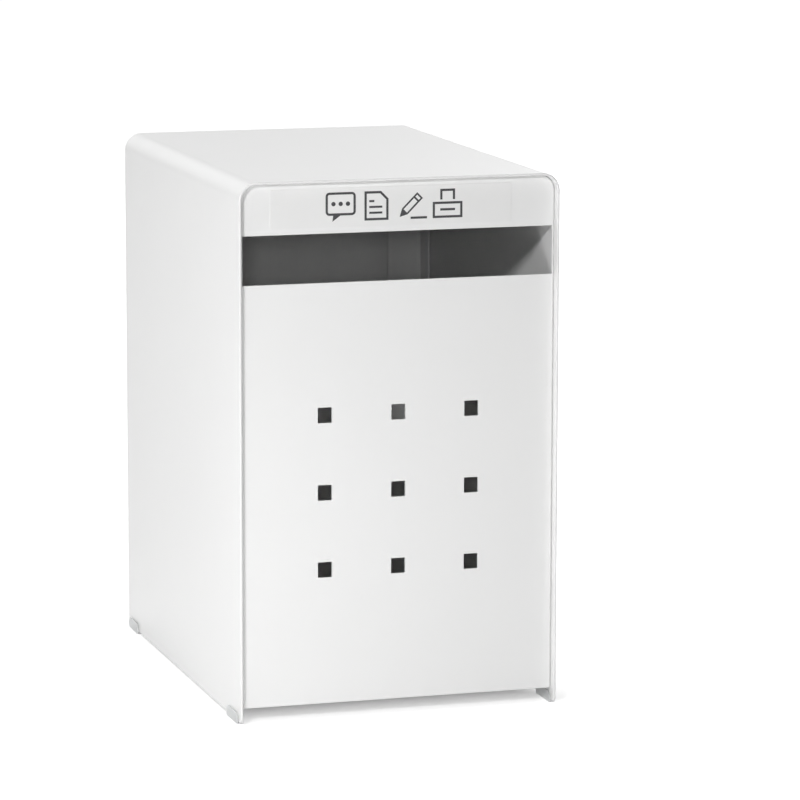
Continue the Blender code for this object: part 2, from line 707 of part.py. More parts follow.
def make_lock_nut():
    """The six-sided nut that holds the lock behind the door."""
    corner = LOCK_NUT_ACROSS_FLATS / 2 / math.cos(math.radians(30))
    hexagon = circle(0, 0, corner, 6)
    bore = circle(0, 0, LOCK_HOLE_RADIUS, TURN_STEPS)
    nut = outline_solid("lock_nut", [hexagon, bore], LOCK_NUT_HEIGHT, ZINC_STEEL)
    face_rear(nut, LOCK_X, DOOR_INNER_Y - SEAT_GAP - LOCK_NUT_HEIGHT / 2, LOCK_Z)
    return nut


def make_lock_plug():
    """The plug that the key turns: its keyway faces the rear, and its square tail drives the cam."""
    top = LOCK_TOP_Y - DOOR_FACE_Y
    step = top - LOCK_PLUG_FLANGE_HEIGHT
    end = BARREL_END_Y - DOOR_FACE_Y
    profile = [
        (0, top),
        (LOCK_PLUG_FLANGE_RADIUS, top),
        (LOCK_PLUG_FLANGE_RADIUS, step),
        (LOCK_PLUG_RADIUS, step),
        (LOCK_PLUG_RADIUS, end),
        (0, end),
    ]
    plug = turned("lock_plug", profile, BRIGHT_CHROME)
    face_rear(plug, LOCK_X, DOOR_FACE_Y, LOCK_Z)
    half = CAM_SQUARE / 2
    tail = (
        (LOCK_X - half, PLUG_TAIL_END_Y, LOCK_Z - half),
        (LOCK_X + half, BARREL_END_Y + OVERRUN, LOCK_Z + half),
    )
    combine(plug, box_cutter("plug_tail", [tail]), "UNION")
    keyway = (
        (LOCK_X - KEYWAY_WIDTH / 2, LOCK_TOP_Y - KEYWAY_DEPTH, LOCK_Z - KEYWAY_HEIGHT / 2),
        (LOCK_X + KEYWAY_WIDTH / 2, LOCK_TOP_Y + OVERRUN, LOCK_Z + KEYWAY_HEIGHT / 2),
    )
    combine(plug, box_cutter("keyway_cutter", [keyway]), "DIFFERENCE")
    ends = [((LOCK_X, PLUG_TAIL_END_Y - OVERRUN, LOCK_Z), (LOCK_X, SCREW_TIP_Y + SEAT_GAP, LOCK_Z))]
    combine(plug, rod_cutter("screw_hole_cutter", SCREW_HOLE_RADIUS, ends), "DIFFERENCE")
    return plug


def make_lock_cam():
    """The cam. It points up while the door is unlocked, and turns behind the frame's lip to lock it."""
    half_arm = CAM_ARM_WIDTH / 2
    leave = math.acos(half_arm / CAM_HUB_RADIUS)
    tip = CAM_LENGTH - half_arm
    outline = arc(0, 0, CAM_HUB_RADIUS, math.pi - leave, FULL_TURN + leave, TURN_STEPS // 2)
    outline += arc(0, tip, half_arm, 0, math.pi, TURN_STEPS // 4)
    half = CAM_SQUARE / 2 + SEAT_GAP
    hole = [(-half, -half), (half, -half), (half, half), (-half, half)]
    cam = outline_solid("lock_cam", [outline, hole], CAM_THICKNESS, ZINC_STEEL)
    cam.rotation_euler = (QUARTER_TURN, 0, 0)
    cam.location = (LOCK_X, (CAM_OUTER_Y + CAM_INNER_Y) / 2, LOCK_Z)
    return cam


def make_cam_washer():
    """The washer between the cam and its screw."""
    rim = circle(0, 0, CAM_WASHER_RADIUS, TURN_STEPS)
    bore = circle(0, 0, SCREW_HOLE_RADIUS, TURN_STEPS)
    washer = outline_solid("cam_washer", [rim, bore], CAM_WASHER_THICKNESS, ZINC_STEEL)
    face_rear(washer, LOCK_X, (WASHER_OUTER_Y + WASHER_INNER_Y) / 2, LOCK_Z)
    return washer


def make_cam_screw():
    """The screw that holds the cam on the plug's tail."""
    seat = SCREW_SEAT_Y - SCREW_TIP_Y
    head_end = seat - CAM_SCREW_HEAD_HEIGHT
    profile = [
        (0, 0),
        (CAM_SCREW_RADIUS, 0),
        (CAM_SCREW_RADIUS, seat),
        (CAM_SCREW_HEAD_RADIUS, seat),
        (CAM_SCREW_HEAD_RADIUS, head_end),
        (0, head_end),
    ]
    screw = turned("cam_screw", profile, ZINC_STEEL)
    face_rear(screw, LOCK_X, SCREW_TIP_Y, LOCK_Z)
    head_y = SCREW_SEAT_Y - CAM_SCREW_HEAD_HEIGHT
    reach = CAM_SCREW_HEAD_RADIUS + OVERRUN
    half = CAM_SCREW_SLOT_WIDTH / 2
    slot = (
        (LOCK_X - reach, head_y - OVERRUN, LOCK_Z - half),
        (LOCK_X + reach, head_y + CAM_SCREW_SLOT_DEPTH, LOCK_Z + half),
    )
    combine(screw, box_cutter("screw_slot_cutter", [slot]), "DIFFERENCE")
    return screw


def foot_outline():
    """A foot's section across the side's edge: a cap with a groove that the edge fits into."""
    half_groove = SHEET / 2 + SEAT_GAP
    half_width = half_groove + FOOT_WALL
    groove_z = FLOOR_GAP - SEAT_GAP
    sole, rim = FOOT_SOLE_RADIUS, FOOT_RIM_RADIUS
    right = arc(half_width - sole, sole, sole, -QUARTER_TURN, 0, SMALL_ARC_STEPS)
    right += arc(half_width - rim, FOOT_HEIGHT - rim, rim, 0, QUARTER_TURN, SMALL_ARC_STEPS)
    right += [(half_groove, FOOT_HEIGHT), (half_groove, groove_z)]
    left = [(-u, v) for u, v in reversed(right)]
    return right + left


def make_foot(name, edge_x, front_y):
    """A clear cap on the bottom edge of a side, from its front end backwards."""
    foot = outline_solid(name, [foot_outline()], FOOT_LENGTH, CLEAR_RUBBER)
    foot.rotation_euler = (QUARTER_TURN, 0, 0)
    foot.location = (edge_x, front_y + FOOT_LENGTH / 2, 0)


def make_feet():
    """The four feet, two on each side."""
    edge_x = HALF_WIDTH - SHEET / 2
    ends = {"front": FRONT_Y + FOOT_FRONT_INSET, "rear": REAR_Y - FOOT_REAR_INSET - FOOT_LENGTH}
    for end, front_y in ends.items():
        make_foot(f"foot_{end}_left", -edge_x, front_y)
        make_foot(f"foot_{end}_right", edge_x, front_y)


def make_fixed_pieces():
    """Everything that stands still."""
    make_shell()
    make_front_panel()
    make_label()
    holes = base_rivet_holes()
    make_base_tray(holes)
    make_rear_frame(holes)
    make_base_rivets()
    make_hinge_leaf("hinge_frame_leaf", 1, 0)
    make_hinge_pin()
    make_feet()


def make_door_pieces():
    """The door with its half of the hinge, and the lock that turns in it."""
    door_axis = add_axis("door_axis", (HINGE_AXIS_X, HINGE_AXIS_Y, DOOR_MIDDLE_Z))
    lock_axis = add_axis("lock_axis", (LOCK_X, DOOR_FACE_Y, LOCK_Z), door_axis)
    holes = hinge_rivet_holes()
    leaf = make_hinge_leaf("hinge_door_leaf", -1, 1)
    combine(leaf, holes, "DIFFERENCE")
    on_door = [make_rear_door(holes), leaf, *make_hinge_rivets(), make_lock_body(), make_lock_nut()]
    on_plug = [make_lock_plug(), make_lock_cam(), make_cam_washer(), make_cam_screw()]
    carry(door_axis, on_door)
    carry(lock_axis, on_plug)


clear_scene()
parts = new_collection("suggestion_box")
cutters = new_collection("cutters")
make_fixed_pieces()
make_door_pieces()
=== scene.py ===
"""The looks of a small suggestion box in white powder-coated sheet steel.

The box stands on the floor z = 0 with its front towards -Y, and every length is in metres. Each
sub-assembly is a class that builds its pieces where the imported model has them, each finish is a
small class that makes one material, and the studio holds the floor, the lamps and the camera.
"""

from __future__ import annotations

import json
import logging
import math
from collections.abc import Callable, Iterator
from contextlib import contextmanager
from dataclasses import dataclass, field
from enum import Enum

import bmesh
import bpy
from mathutils import Matrix, Vector

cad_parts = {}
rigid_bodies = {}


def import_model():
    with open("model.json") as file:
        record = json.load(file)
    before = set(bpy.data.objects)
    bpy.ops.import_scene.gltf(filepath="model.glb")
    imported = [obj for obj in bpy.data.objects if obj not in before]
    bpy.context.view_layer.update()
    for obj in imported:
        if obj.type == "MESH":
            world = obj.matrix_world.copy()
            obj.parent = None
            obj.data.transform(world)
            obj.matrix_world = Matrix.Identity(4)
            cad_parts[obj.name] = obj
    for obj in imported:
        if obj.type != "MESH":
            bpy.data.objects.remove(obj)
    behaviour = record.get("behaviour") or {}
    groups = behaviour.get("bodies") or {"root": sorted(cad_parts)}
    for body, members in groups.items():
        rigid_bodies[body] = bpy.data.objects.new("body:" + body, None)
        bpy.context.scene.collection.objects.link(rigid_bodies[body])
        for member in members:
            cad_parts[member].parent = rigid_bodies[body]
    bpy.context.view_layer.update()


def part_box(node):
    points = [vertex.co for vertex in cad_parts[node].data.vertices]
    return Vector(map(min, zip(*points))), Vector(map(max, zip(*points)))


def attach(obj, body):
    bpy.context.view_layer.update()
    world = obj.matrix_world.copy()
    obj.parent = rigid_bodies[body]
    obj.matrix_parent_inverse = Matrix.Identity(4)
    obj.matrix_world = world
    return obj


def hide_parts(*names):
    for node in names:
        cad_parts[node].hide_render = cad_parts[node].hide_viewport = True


LOG = logging.getLogger("suggestion_box")

FULL_TURN = 2 * math.pi
HALF_TURN = math.pi
QUARTER_TURN = math.pi / 2
TINY = 1e-5
SMOOTH_ANGLE = math.radians(40)
SHARP_ANGLE = math.radians(50)
FACING = 0.9
WHITE = (1.0, 1.0, 1.0, 1.0)

X, Y, Z = 0, 1, 2
LEFT = Vector((-1, 0, 0))
RIGHT = Vector((1, 0, 0))
FRONT = Vector((0, -1, 0))
REAR = Vector((0, 1, 0))
DOWN = Vector((0, 0, -1))
UP = Vector((0, 0, 1))

Piece = bpy.types.Object
Group = bpy.types.NodeTree
Socket = bpy.types.NodeSocket
Point = tuple[float, float]
Outline = list[Point]
Colour = tuple[float, float, float]
Test = Callable[..., bool]


class Body(Enum):
    """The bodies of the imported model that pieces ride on."""

    CABINET = "cabinet"
    DOOR = "door"
    LOCK = "lock"


class Slot(Enum):
    """The record's material slots."""

    COAT = "white_coat"
    FILM = "label_film"
    ZINC = "zinc_steel"
    CHROME = "lock_chrome"
    RUBBER = "clear_rubber"


class Kind(Enum):
    """What is picked in edit mode."""

    FACE = "FACE"
    EDGE = "EDGE"
    CORNER = "VERT"


class Merge(Enum):
    """What becomes of a piece where a tool meets it."""

    CUT = "DIFFERENCE"
    ADD = "UNION"
    KEEP = "INTERSECT"


class MarkShape(Enum):
    """The plain printed marks on the label."""

    SPEECH = "speech"
    SLIP = "slip"
    PENCIL = "pencil"
    BOX = "box"


@dataclass(frozen=True)
class Extent:
    """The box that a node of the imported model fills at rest."""

    low: Vector
    high: Vector

    @classmethod
    def of(cls, node: str) -> Extent:
        """Reads a node's extent from the frame."""
        return cls(*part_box(node))

    @property
    def middle(self) -> Vector:
        """The centre of the box."""
        return (self.low + self.high) / 2

    @property
    def size(self) -> Vector:
        """The lengths of the box's sides."""
        return self.high - self.low


def near(a: float, b: float) -> bool:
    """Tells whether two lengths are the same, but for rounding."""
    return abs(a - b) < TINY


def centred(count: int) -> list[float]:
    """Gives evenly spaced numbers, one apart, whose middle is zero."""
    return [number - (count - 1) / 2 for number in range(count)]


def deselect_all() -> None:
    """Leaves object mode with nothing selected."""
    for thing in bpy.context.view_layer.objects:
        thing.select_set(False)


def make_active(piece: Piece) -> None:
    """Selects one piece alone and makes it active.

    Args:
        piece: The piece.
    """
    deselect_all()
    piece.select_set(True)
    bpy.context.view_layer.objects.active = piece


@contextmanager
def editing(piece: Piece) -> Iterator[None]:
    """Opens a piece in edit mode with nothing selected, and closes it afterwards.

    Args:
        piece: The mesh object to edit.
    """
    make_active(piece)
    bpy.ops.object.mode_set(mode="EDIT")
    bpy.ops.mesh.select_all(action="DESELECT")
    yield
    bpy.ops.object.mode_set(mode="OBJECT")


def pick(piece: Piece, kind: Kind, test: Test) -> None:
    """Selects the faces, edges or corners that a test takes.

    Args:
        piece: The piece in edit mode.
        kind: What is picked.
        test: Gets a face's middle and normal, an edge's two ends, or a corner's place.
    """
    bpy.ops.mesh.select_all(action="DESELECT")
    bpy.ops.mesh.select_mode(type=kind.value)
    shape = bmesh.from_edit_mesh(piece.data)
    shape.normal_update()
    things, facts = {
        Kind.FACE: (shape.faces, lambda face: (face.calc_center_median(), face.normal)),
        Kind.EDGE: (shape.edges, lambda edge: [end.co for end in edge.verts]),
        Kind.CORNER: (shape.verts, lambda corner: [corner.co]),
    }[kind]
    for thing in things:
        if test(*facts(thing)):
            thing.select_set(True)
    bmesh.update_edit_mesh(piece.data)


def lying_at(*places: tuple[int, float]) -> Test:
    """Makes a test for edges or corners whose points all lie at given places on given axes."""
    return lambda *points: all(near(point[axis], place) for point in points for axis, place in places)


def running_along(axis: int, *places: tuple[int, float]) -> Test:
    """Makes a test for edges that run along one axis, at given places on others."""
    return lambda a, b: not near(a[axis], b[axis]) and lying_at(*places)(a, b)


def round_off(piece: Piece, test: Test, width: float, steps: int, kind: Kind = Kind.EDGE) -> None:
    """Rounds the edges of a piece that a test takes, or the corners of an open sheet.

    Args:
        piece: The piece in edit mode.
        test: Says what is rounded.
        width: The radius of the rounding.
        steps: The number of flats in it.
        kind: Whether edges or corners are rounded.
    """
    pick(piece, kind, test)
    bpy.ops.mesh.bevel(
        offset=width,
        offset_type="OFFSET",
        segments=steps,
        profile=0.5,
        affect="VERTICES" if kind is Kind.CORNER else "EDGES",
        clamp_overlap=True,
    )


def remove_sides(piece: Piece, *directions: Vector) -> None:
    """Deletes the sides of a block, in edit mode, that look given ways."""
    pick(piece, Kind.FACE, lambda middle, normal: any(normal.dot(way) > FACING for way in directions))
    bpy.ops.mesh.delete(type="FACE")


def placed(name: str) -> Piece:
    """Names the active object and puts its place into its mesh.

    Args:
        name: The name that it gets.

    Returns:
        The object.
    """
    piece = bpy.context.view_layer.objects.active
    piece.name = name
    piece.data.name = name
    bpy.ops.object.transform_apply(location=True, rotation=True, scale=True)
    return piece


def add_block(name: str, low: Vector, high: Vector) -> Piece:
    """Adds a block between two corners.

    Args:
        name: The block's name.
        low: Its lowest corner.
        high: Its highest corner.

    Returns:
        The block.
    """
    deselect_all()
    bpy.ops.mesh.primitive_cube_add(size=1, location=(low + high) / 2, scale=high - low)
    return placed(name)


def add_bar(name: str, start: Vector, end: Vector, half: Vector) -> Piece:
    """Adds a block that goes past both ends of a line by the same lengths."""
    return add_block(name, start - half, end + half)


def add_rod(name: str, radius: float, start: Vector, end: Vector, sides: int) -> Piece:
    """Adds a round rod from one point to another.

    Args:
        name: The rod's name.
        radius: Its radius.
        start: The centre of its first end.
        end: The centre of its last end.
        sides: The number of its sides.

    Returns:
        The rod.
    """
    deselect_all()
    along = end - start
    bpy.ops.mesh.primitive_cylinder_add(
        vertices=sides,
        radius=radius,
        depth=along.length,
        location=(start + end) / 2,
        rotation=along.to_track_quat("Z", "Y").to_euler(),
    )
    return placed(name)


def turned(name: str, profile: Outline, centre: Vector, axis: Vector, sides: int) -> Piece:
    """Turns a closed section about an axis, as on a lathe.

    Args:
        name: The piece's name.
        profile: The section's corners, each a radius and a height along the axis.
        centre: The point on the axis at height 0.
        axis: The axis, a unit vector along X, Y or Z.
        sides: The number of sides that a full turn gets.

    Returns:
        The turned piece.
    """
    outward = Vector((axis.y, axis.z, axis.x))
    deselect_all()
    bpy.ops.mesh.primitive_circle_add(vertices=len(profile), radius=1, fill_type="NOTHING")
    piece = placed(name)
    for corner, (radius, height) in zip(piece.data.vertices, profile):
        corner.co = centre + outward * radius + axis * height
    with editing(piece):
        bpy.ops.mesh.select_mode(type="VERT")
        bpy.ops.mesh.select_all(action="SELECT")
        bpy.ops.mesh.spin(steps=sides, angle=FULL_TURN, center=centre, axis=axis)
        bpy.ops.mesh.select_all(action="SELECT")
        bpy.ops.mesh.remove_doubles(threshold=TINY / 2)
        bpy.ops.mesh.dissolve_degenerate(threshold=TINY / 10)
        bpy.ops.mesh.select_all(action="SELECT")
        bpy.ops.mesh.normals_make_consistent(inside=False)
    return piece


def joined(things: list[Piece]) -> Piece:
    """Joins meshes into the first of them.

    Args:
        things: The meshes.

    Returns:
        The one that is left.
    """
    make_active(things[0])
    for thing in things[1:]:
        thing.select_set(True)
    bpy.ops.object.join()
    return things[0]


def finish_with(piece: Piece, kind: str, **values: object) -> None:
    """Adds one modifier to a piece and applies it.

    Args:
        piece: The piece.
        kind: The modifier's type.
        values: The modifier's settings.
    """
    make_active(piece)
    modifier = piece.modifiers.new(kind.title(), kind)
    for name, value in values.items():
        setattr(modifier, name, value)
    bpy.ops.object.modifier_apply(modifier=modifier.name)


def thicken(piece: Piece, sheet: float) -> None:
    """Gives an open surface a sheet's thickness, on the side away from its normals."""
    options = {"use_even_offset": True, "use_quality_normals": True}
    finish_with(piece, "SOLIDIFY", thickness=sheet, offset=-1, **options)


def combine(piece: Piece, tool: Piece, merge: Merge = Merge.CUT) -> None:
    """Cuts a tool out of a piece, adds it or keeps what lies in it, and deletes the tool."""
    finish_with(piece, "BOOLEAN", operation=merge.value, solver="EXACT", object=tool)
    bpy.data.objects.remove(tool, do_unlink=True)


def shade(piece: Piece) -> None:
    """Shades a piece smooth, with its flat faces kept flat.

    Args:
        piece: The piece.
    """
    make_active(piece)
    bpy.ops.object.shade_smooth_by_angle(angle=SMOOTH_ANGLE)
    finish_with(piece, "WEIGHTED_NORMAL", mode="FACE_AREA", weight=100, keep_sharp=True)


def soften(piece: Piece, width: float, steps: int = 3) -> None:
    """Rounds the sharp edges of a piece a little and shades it smooth.

    Args:
        piece: The piece.
        width: The radius of its edges.
        steps: The number of flats in each rounding.
    """
    finish_with(
        piece,
        "BEVEL",
        width=width,
        segments=steps,
        limit_method="ANGLE",
        angle_limit=SHARP_ANGLE,
        use_clamp_overlap=True,
        loop_slide=False,
    )
    shade(piece)


def ring(centre: Point, radius: float, start: float, end: float, steps: int) -> Outline:
    """Works out points on an arc, both ends included.

    Args:
        centre: The arc's centre.
        radius: Its radius.
        start: The angle that it starts at.
        end: The angle that it ends at.
        steps: The number of its flats.

    Returns:
        The points.
    """
    angles = [start + (end - start) * i / steps for i in range(steps + 1)]
    return [(centre[0] + radius * math.cos(a), centre[1] + radius * math.sin(a)) for a in angles]


def rectangle(low: Point, high: Point) -> Outline:
    """Works out a rectangle's outline."""
    return [low, (high[0], low[1]), high, (low[0], high[1])]


def rounded_outline(low: Point, high: Point, radius: float, steps: int = 6) -> Outline:
    """Works out a rectangle's outline with round corners.

    Args:
        low: Its lowest corner.
        high: Its highest corner.
        radius: The radius of its corners.
        steps: The number of flats in each corner.

    Returns:
        The outline's points.
    """
    centres = rectangle((low[0] + radius, low[1] + radius), (high[0] - radius, high[1] - radius))
    starts = (HALF_TURN, HALF_TURN + QUARTER_TURN, 0.0, QUARTER_TURN)
    outline: Outline = []
    for centre, start in zip(centres, starts):
        outline += ring(centre, radius, start, start + QUARTER_TURN, steps)
    return outline


def dome(radius: float, base: float, rise: float, steps: int = 8) -> Outline:
    """Works out the section of a domed head, from its top to its rim.

    Args:
        radius: The radius of its rim.
        base: The height of its rim.
        rise: How far its top is above that.
        steps: The number of its flats.

    Returns:
        The section's points.
    """
    angles = [QUARTER_TURN * i / steps for i in range(steps + 1)]
    return [(radius * math.sin(angle), base + rise * math.cos(angle)) for angle in angles]


def with_mirror(section: Outline) -> Outline:
    """Adds a half section's mirror image below height 0."""
    return section + [(radius, -height) for radius, height in reversed(section)]


class NodeBoard:
    """A material's or group's nodes, added and joined one by one."""

    def __init__(self, tree: Group) -> None:
        """Starts on an empty tree."""
        self.tree = tree
        tree.nodes.clear()

    def add(self, kind: str, values: dict | None = None, **settings: object) -> bpy.types.Node:
        """Adds a node.

        Args:
            kind: The node's type.
            values: Its inputs: constants, or other nodes' outputs that are linked to them.
            settings: Its own settings.

        Returns:
            The node.
        """
        made = self.tree.nodes.new(kind)
        for name, value in settings.items():
            setattr(made, name, value)
        for name, value in (values or {}).items():
            if isinstance(value, Socket):
                self.tree.links.new(value, made.inputs[name])
            else:
                made.inputs[name].default_value = value
        return made

    def effect(self, group: Group, **values: object) -> Socket:
        """Adds a node group, and gives its one output."""
        return self.add("ShaderNodeGroup", values, node_tree=group).outputs[0]

    def mix_colour(self, factor: object, first: Colour, second: Colour) -> Socket:
        """Mixes two colours by the share of the second."""
        values = {0: factor, 6: (*first, 1.0), 7: (*second, 1.0)}
        return self.add("ShaderNodeMix", values, data_type="RGBA").outputs[2]

    def calculate(self, operation: str, first: object, second: object = 0.0) -> Socket:
        """Does one sum on values."""
        return self.add("ShaderNodeMath", {0: first, 1: second}, operation=operation).outputs[0]

    def where_seen(self) -> Socket:
        """Gives 1 to rays that show a surface to the eye, and 0 to those that light others.

        Returns:
            The value's socket.
        """
        rays = self.add("ShaderNodeLightPath").outputs
        seen = self.calculate("MAXIMUM", rays["Is Camera Ray"], rays["Is Glossy Ray"])
        return self.calculate("MAXIMUM", seen, rays["Is Transmission Ray"])


def new_material(name: str) -> tuple[bpy.types.Material, NodeBoard]:
    """Starts a material with no nodes.

    Args:
        name: The material's name.

    Returns:
        The material and its board.
    """
    material = bpy.data.materials.new(name)
    material.use_nodes = True
    return material, NodeBoard(material.node_tree)


@dataclass
class SurfaceEffects:
    """The effects that several finishes share, each a node group that is built once."""

    relief: Group = field(init=False)
    drift: Group = field(init=False)
    scuffs: Group = field(init=False)
    scuff_turns: tuple[float, ...] = (0.4, 1.5, 2.6)
    scuff_stretch: tuple[float, ...] = (1.0, 0.06, 0.06)

    def __post_init__(self) -> None:
        """Builds the groups."""
        self.relief = self.build_relief()
        self.drift = self.build_drift()
        self.scuffs = self.build_scuffs()

    def start(self, name: str, output: str, **inputs: float) -> tuple[NodeBoard, dict[str, Socket]]:
        """Starts a node group with a place input, value inputs and one value output.

        Args:
            name: The group's name.
            output: Its output.
            inputs: Its value inputs with their defaults.

        Returns:
            The group's board, and what it is given.
        """
        group = bpy.data.node_groups.new(name, "ShaderNodeTree")
        group.interface.new_socket("Place", in_out="INPUT", socket_type="NodeSocketVector")
        for label, value in inputs.items():
            socket = group.interface.new_socket(label, in_out="INPUT", socket_type="NodeSocketFloat")
            socket.default_value = value
        group.interface.new_socket(output, in_out="OUTPUT", socket_type="NodeSocketFloat")
        board = NodeBoard(group)
        given = board.add("NodeGroupInput").outputs
        return board, {label: given[label] for label in ("Place", *inputs)}

    def noise(self, board: NodeBoard, given: dict[str, Socket], scale: str, **look: float) -> Socket:
        """Adds a noise texture to a group, at the group's place and one of its scales."""
        values = {"Vector": given["Place"], "Scale": given[scale], **look}
        return board.add("ShaderNodeTexNoise", values).outputs["Fac"]

    def build_relief(self) -> Group:
        """Builds the fine unevenness of a coat: soft dimples with a finer grain on them.

        Returns:
            The group, whose Height runs from 0 to 1.
        """
        board, given = self.start("fine_relief", "Height", Dimples=900.0, Grain=4200.0, Share=0.25)
        dimples = self.noise(board, given, "Dimples", Detail=1.5, Roughness=0.4)
        grain = self.noise(board, given, "Grain", Detail=2.0, Roughness=0.5)
        fine = board.calculate("MULTIPLY", grain, given["Share"])
        rest = board.calculate("SUBTRACT", 1.0, given["Share"])
        coarse = board.calculate("MULTIPLY", dimples, rest)
        board.add("NodeGroupOutput", {"Height": board.calculate("ADD", coarse, fine)})
        return board.tree

    def build_drift(self) -> Group:
        """Builds the slow drift of tone and gloss over a surface.

        Returns:
            The group, whose Drift runs from -Amount to Amount.
        """
        board, given = self.start("slow_drift", "Drift", Scale=18.0, Amount=1.0)
        cloud = self.noise(board, given, "Scale", Detail=3.0, Roughness=0.55)
        doubled = board.calculate("MULTIPLY", board.calculate("SUBTRACT", cloud, 0.5), 2.0)
        board.add("NodeGroupOutput", {"Drift": board.calculate("MULTIPLY", doubled, given["Amount"])})
        return board.tree

    def build_scuffs(self) -> Group:
        """Builds short fine scuffs that cross each other.

        Returns:
            The group, whose Scuff is 1 in a scuff and 0 beside it.
        """
        board, given = self.start("fine_scuffs", "Scuff", Density=220.0, Width=0.035)
        total: Socket | float = 0.0
        for turn in self.scuff_turns:
            stretch = {"Vector": given["Place"], "Rotation": (turn,) * 3, "Scale": self.scuff_stretch}
            place = board.add("ShaderNodeMapping", stretch).outputs["Vector"]
            values = {"Vector": place, "Scale": given["Density"]}
            cells = board.add("ShaderNodeTexVoronoi", values, feature="DISTANCE_TO_EDGE")
            line = board.calculate("LESS_THAN", cells.outputs["Distance"], given["Width"])
            total = board.calculate("MAXIMUM", line, total)
        board.add("NodeGroupOutput", {"Scuff": total})
        return board.tree


@dataclass(frozen=True)
class Finish:
    """A finish: two tones that drift into each other, an uneven gloss, scuffs and a relief.

    Scales and densities count to the metre. A scale, density or depth of 0 leaves its effect out.
    """

    name: str
    slot: Slot
    colour: Colour
    second: Colour
    tone_scale: float
    gloss: float
    gloss_scale: float = 0.0
    gloss_drift: float = 0.0
    scuff_density: float = 0.0
    scuff_width: float = 0.0
    scuff_rub: float = 0.0
    dimples: float = 900.0
    grain: float = 4200.0
    depth: float = 0.0
    metallic: float = 0.0
    ior: float = 1.5
    transmission: float = 0.0

    def make(self, effects: SurfaceEffects) -> bpy.types.Material:
        """Makes the material.

        Args:
            effects: The shared effects.

        Returns:
            The material.
        """
        material, board = new_material(self.name)
        place = board.add("ShaderNodeTexCoord").outputs["Object"]
        drift = board.effect(effects.drift, Place=place, Scale=self.tone_scale, Amount=0.5)
        tone = board.mix_colour(board.calculate("ADD", drift, 0.5), self.colour, self.second)
        values = {
            "Base Color": tone,
            "Roughness": self.roughen(board, place, effects),
            "Metallic": self.metallic,
            "IOR": self.ior,
            "Transmission Weight": self.transmission,
        }
        if self.depth:
            relief = {"Height": self.height(board, place, effects), "Distance": self.depth, "Strength": 1.0}
            values["Normal"] = board.add("ShaderNodeBump", relief).outputs["Normal"]
        shader = board.add("ShaderNodeBsdfPrincipled", values)
        board.add("ShaderNodeOutputMaterial", {"Surface": shader.outputs["BSDF"]})
        return material

    def roughen(self, board: NodeBoard, place: Socket, effects: SurfaceEffects) -> Socket | float:
        """Works out the roughness: the gloss, its drift and the scuffs.

        Args:
            board: The material's nodes.
            place: The Object coordinates.
            effects: The shared effects.

        Returns:
            The roughness.
        """
        rough: Socket | float = self.gloss
        if self.gloss_scale:
            values = {"Scale": self.gloss_scale, "Amount": self.gloss_drift}
            rough = board.calculate("ADD", board.effect(effects.drift, Place=place, **values), rough)
        if self.scuff_density:
            values = {"Density": self.scuff_density, "Width": self.scuff_width}
            scuffs = board.effect(effects.scuffs, Place=place, **values)
            rough = board.calculate("ADD", board.calculate("MULTIPLY", scuffs, self.scuff_rub), rough)
        return rough

    def height(self, board: NodeBoard, place: Socket, effects: SurfaceEffects) -> Socket:
        """Gives the height of the relief, from the material's nodes and Object coordinates."""
        return board.effect(effects.relief, Place=place, Dimples=self.dimples, Grain=self.grain)


@dataclass(frozen=True)
class PowderCoat(Finish):
    """A baked powder coat: satin, with a faint orange peel."""

    name: str = "white_powder_coat"
    slot: Slot = Slot.COAT
    colour: Colour = (0.87, 0.87, 0.866)
    second: Colour = (0.855, 0.856, 0.853)
    tone_scale: float = 14.0
    gloss: float = 0.4
    gloss_scale: float = 46.0
    gloss_drift: float = 0.04
    depth: float = 0.000012


@dataclass(frozen=True)
class LabelFilm(Finish):
    """A satin white label film with a faint tooth."""

    name: str = "satin_label_film"
    slot: Slot = Slot.FILM
    colour: Colour = (0.855, 0.855, 0.85)
    second: Colour = (0.842175, 0.842175, 0.83725)
    tone_scale: float = 120.0
    gloss: float = 0.5
    gloss_scale: float = 120.0
    gloss_drift: float = 0.025
    dimples: float = 3000.0
    grain: float = 9000.0
    depth: float = 0.000004


@dataclass(frozen=True)
class PrintInk(Finish):
    """Dark grey printing ink on the label, which covers a little unevenly."""

    name: str = "dark_print_ink"
    slot: Slot = Slot.FILM
    colour: Colour = (0.03, 0.03, 0.032)
    second: Colour = (0.051, 0.051, 0.0544)
    tone_scale: float = 1400.0
    gloss: float = 0.45
    gloss_scale: float = 1400.0
    gloss_drift: float = 0.05


@dataclass(frozen=True)
class ZincPlate(Finish):
    """Bright zinc plate with a cloudy bluish cast and fine scuffs."""

    name: str = "bright_zinc_plate"
    slot: Slot = Slot.ZINC
    colour: Colour = (0.6, 0.61, 0.62)
    second: Colour = (0.52, 0.54, 0.58)
    tone_scale: float = 160.0
    gloss: float = 0.34
    gloss_scale: float = 160.0
    gloss_drift: float = 0.06
    scuff_density: float = 420.0
    scuff_width: float = 0.03
    scuff_rub: float = 0.12
    dimples: float = 2400.0
    grain: float = 8000.0
    depth: float = 0.000008
    metallic: float = 1.0


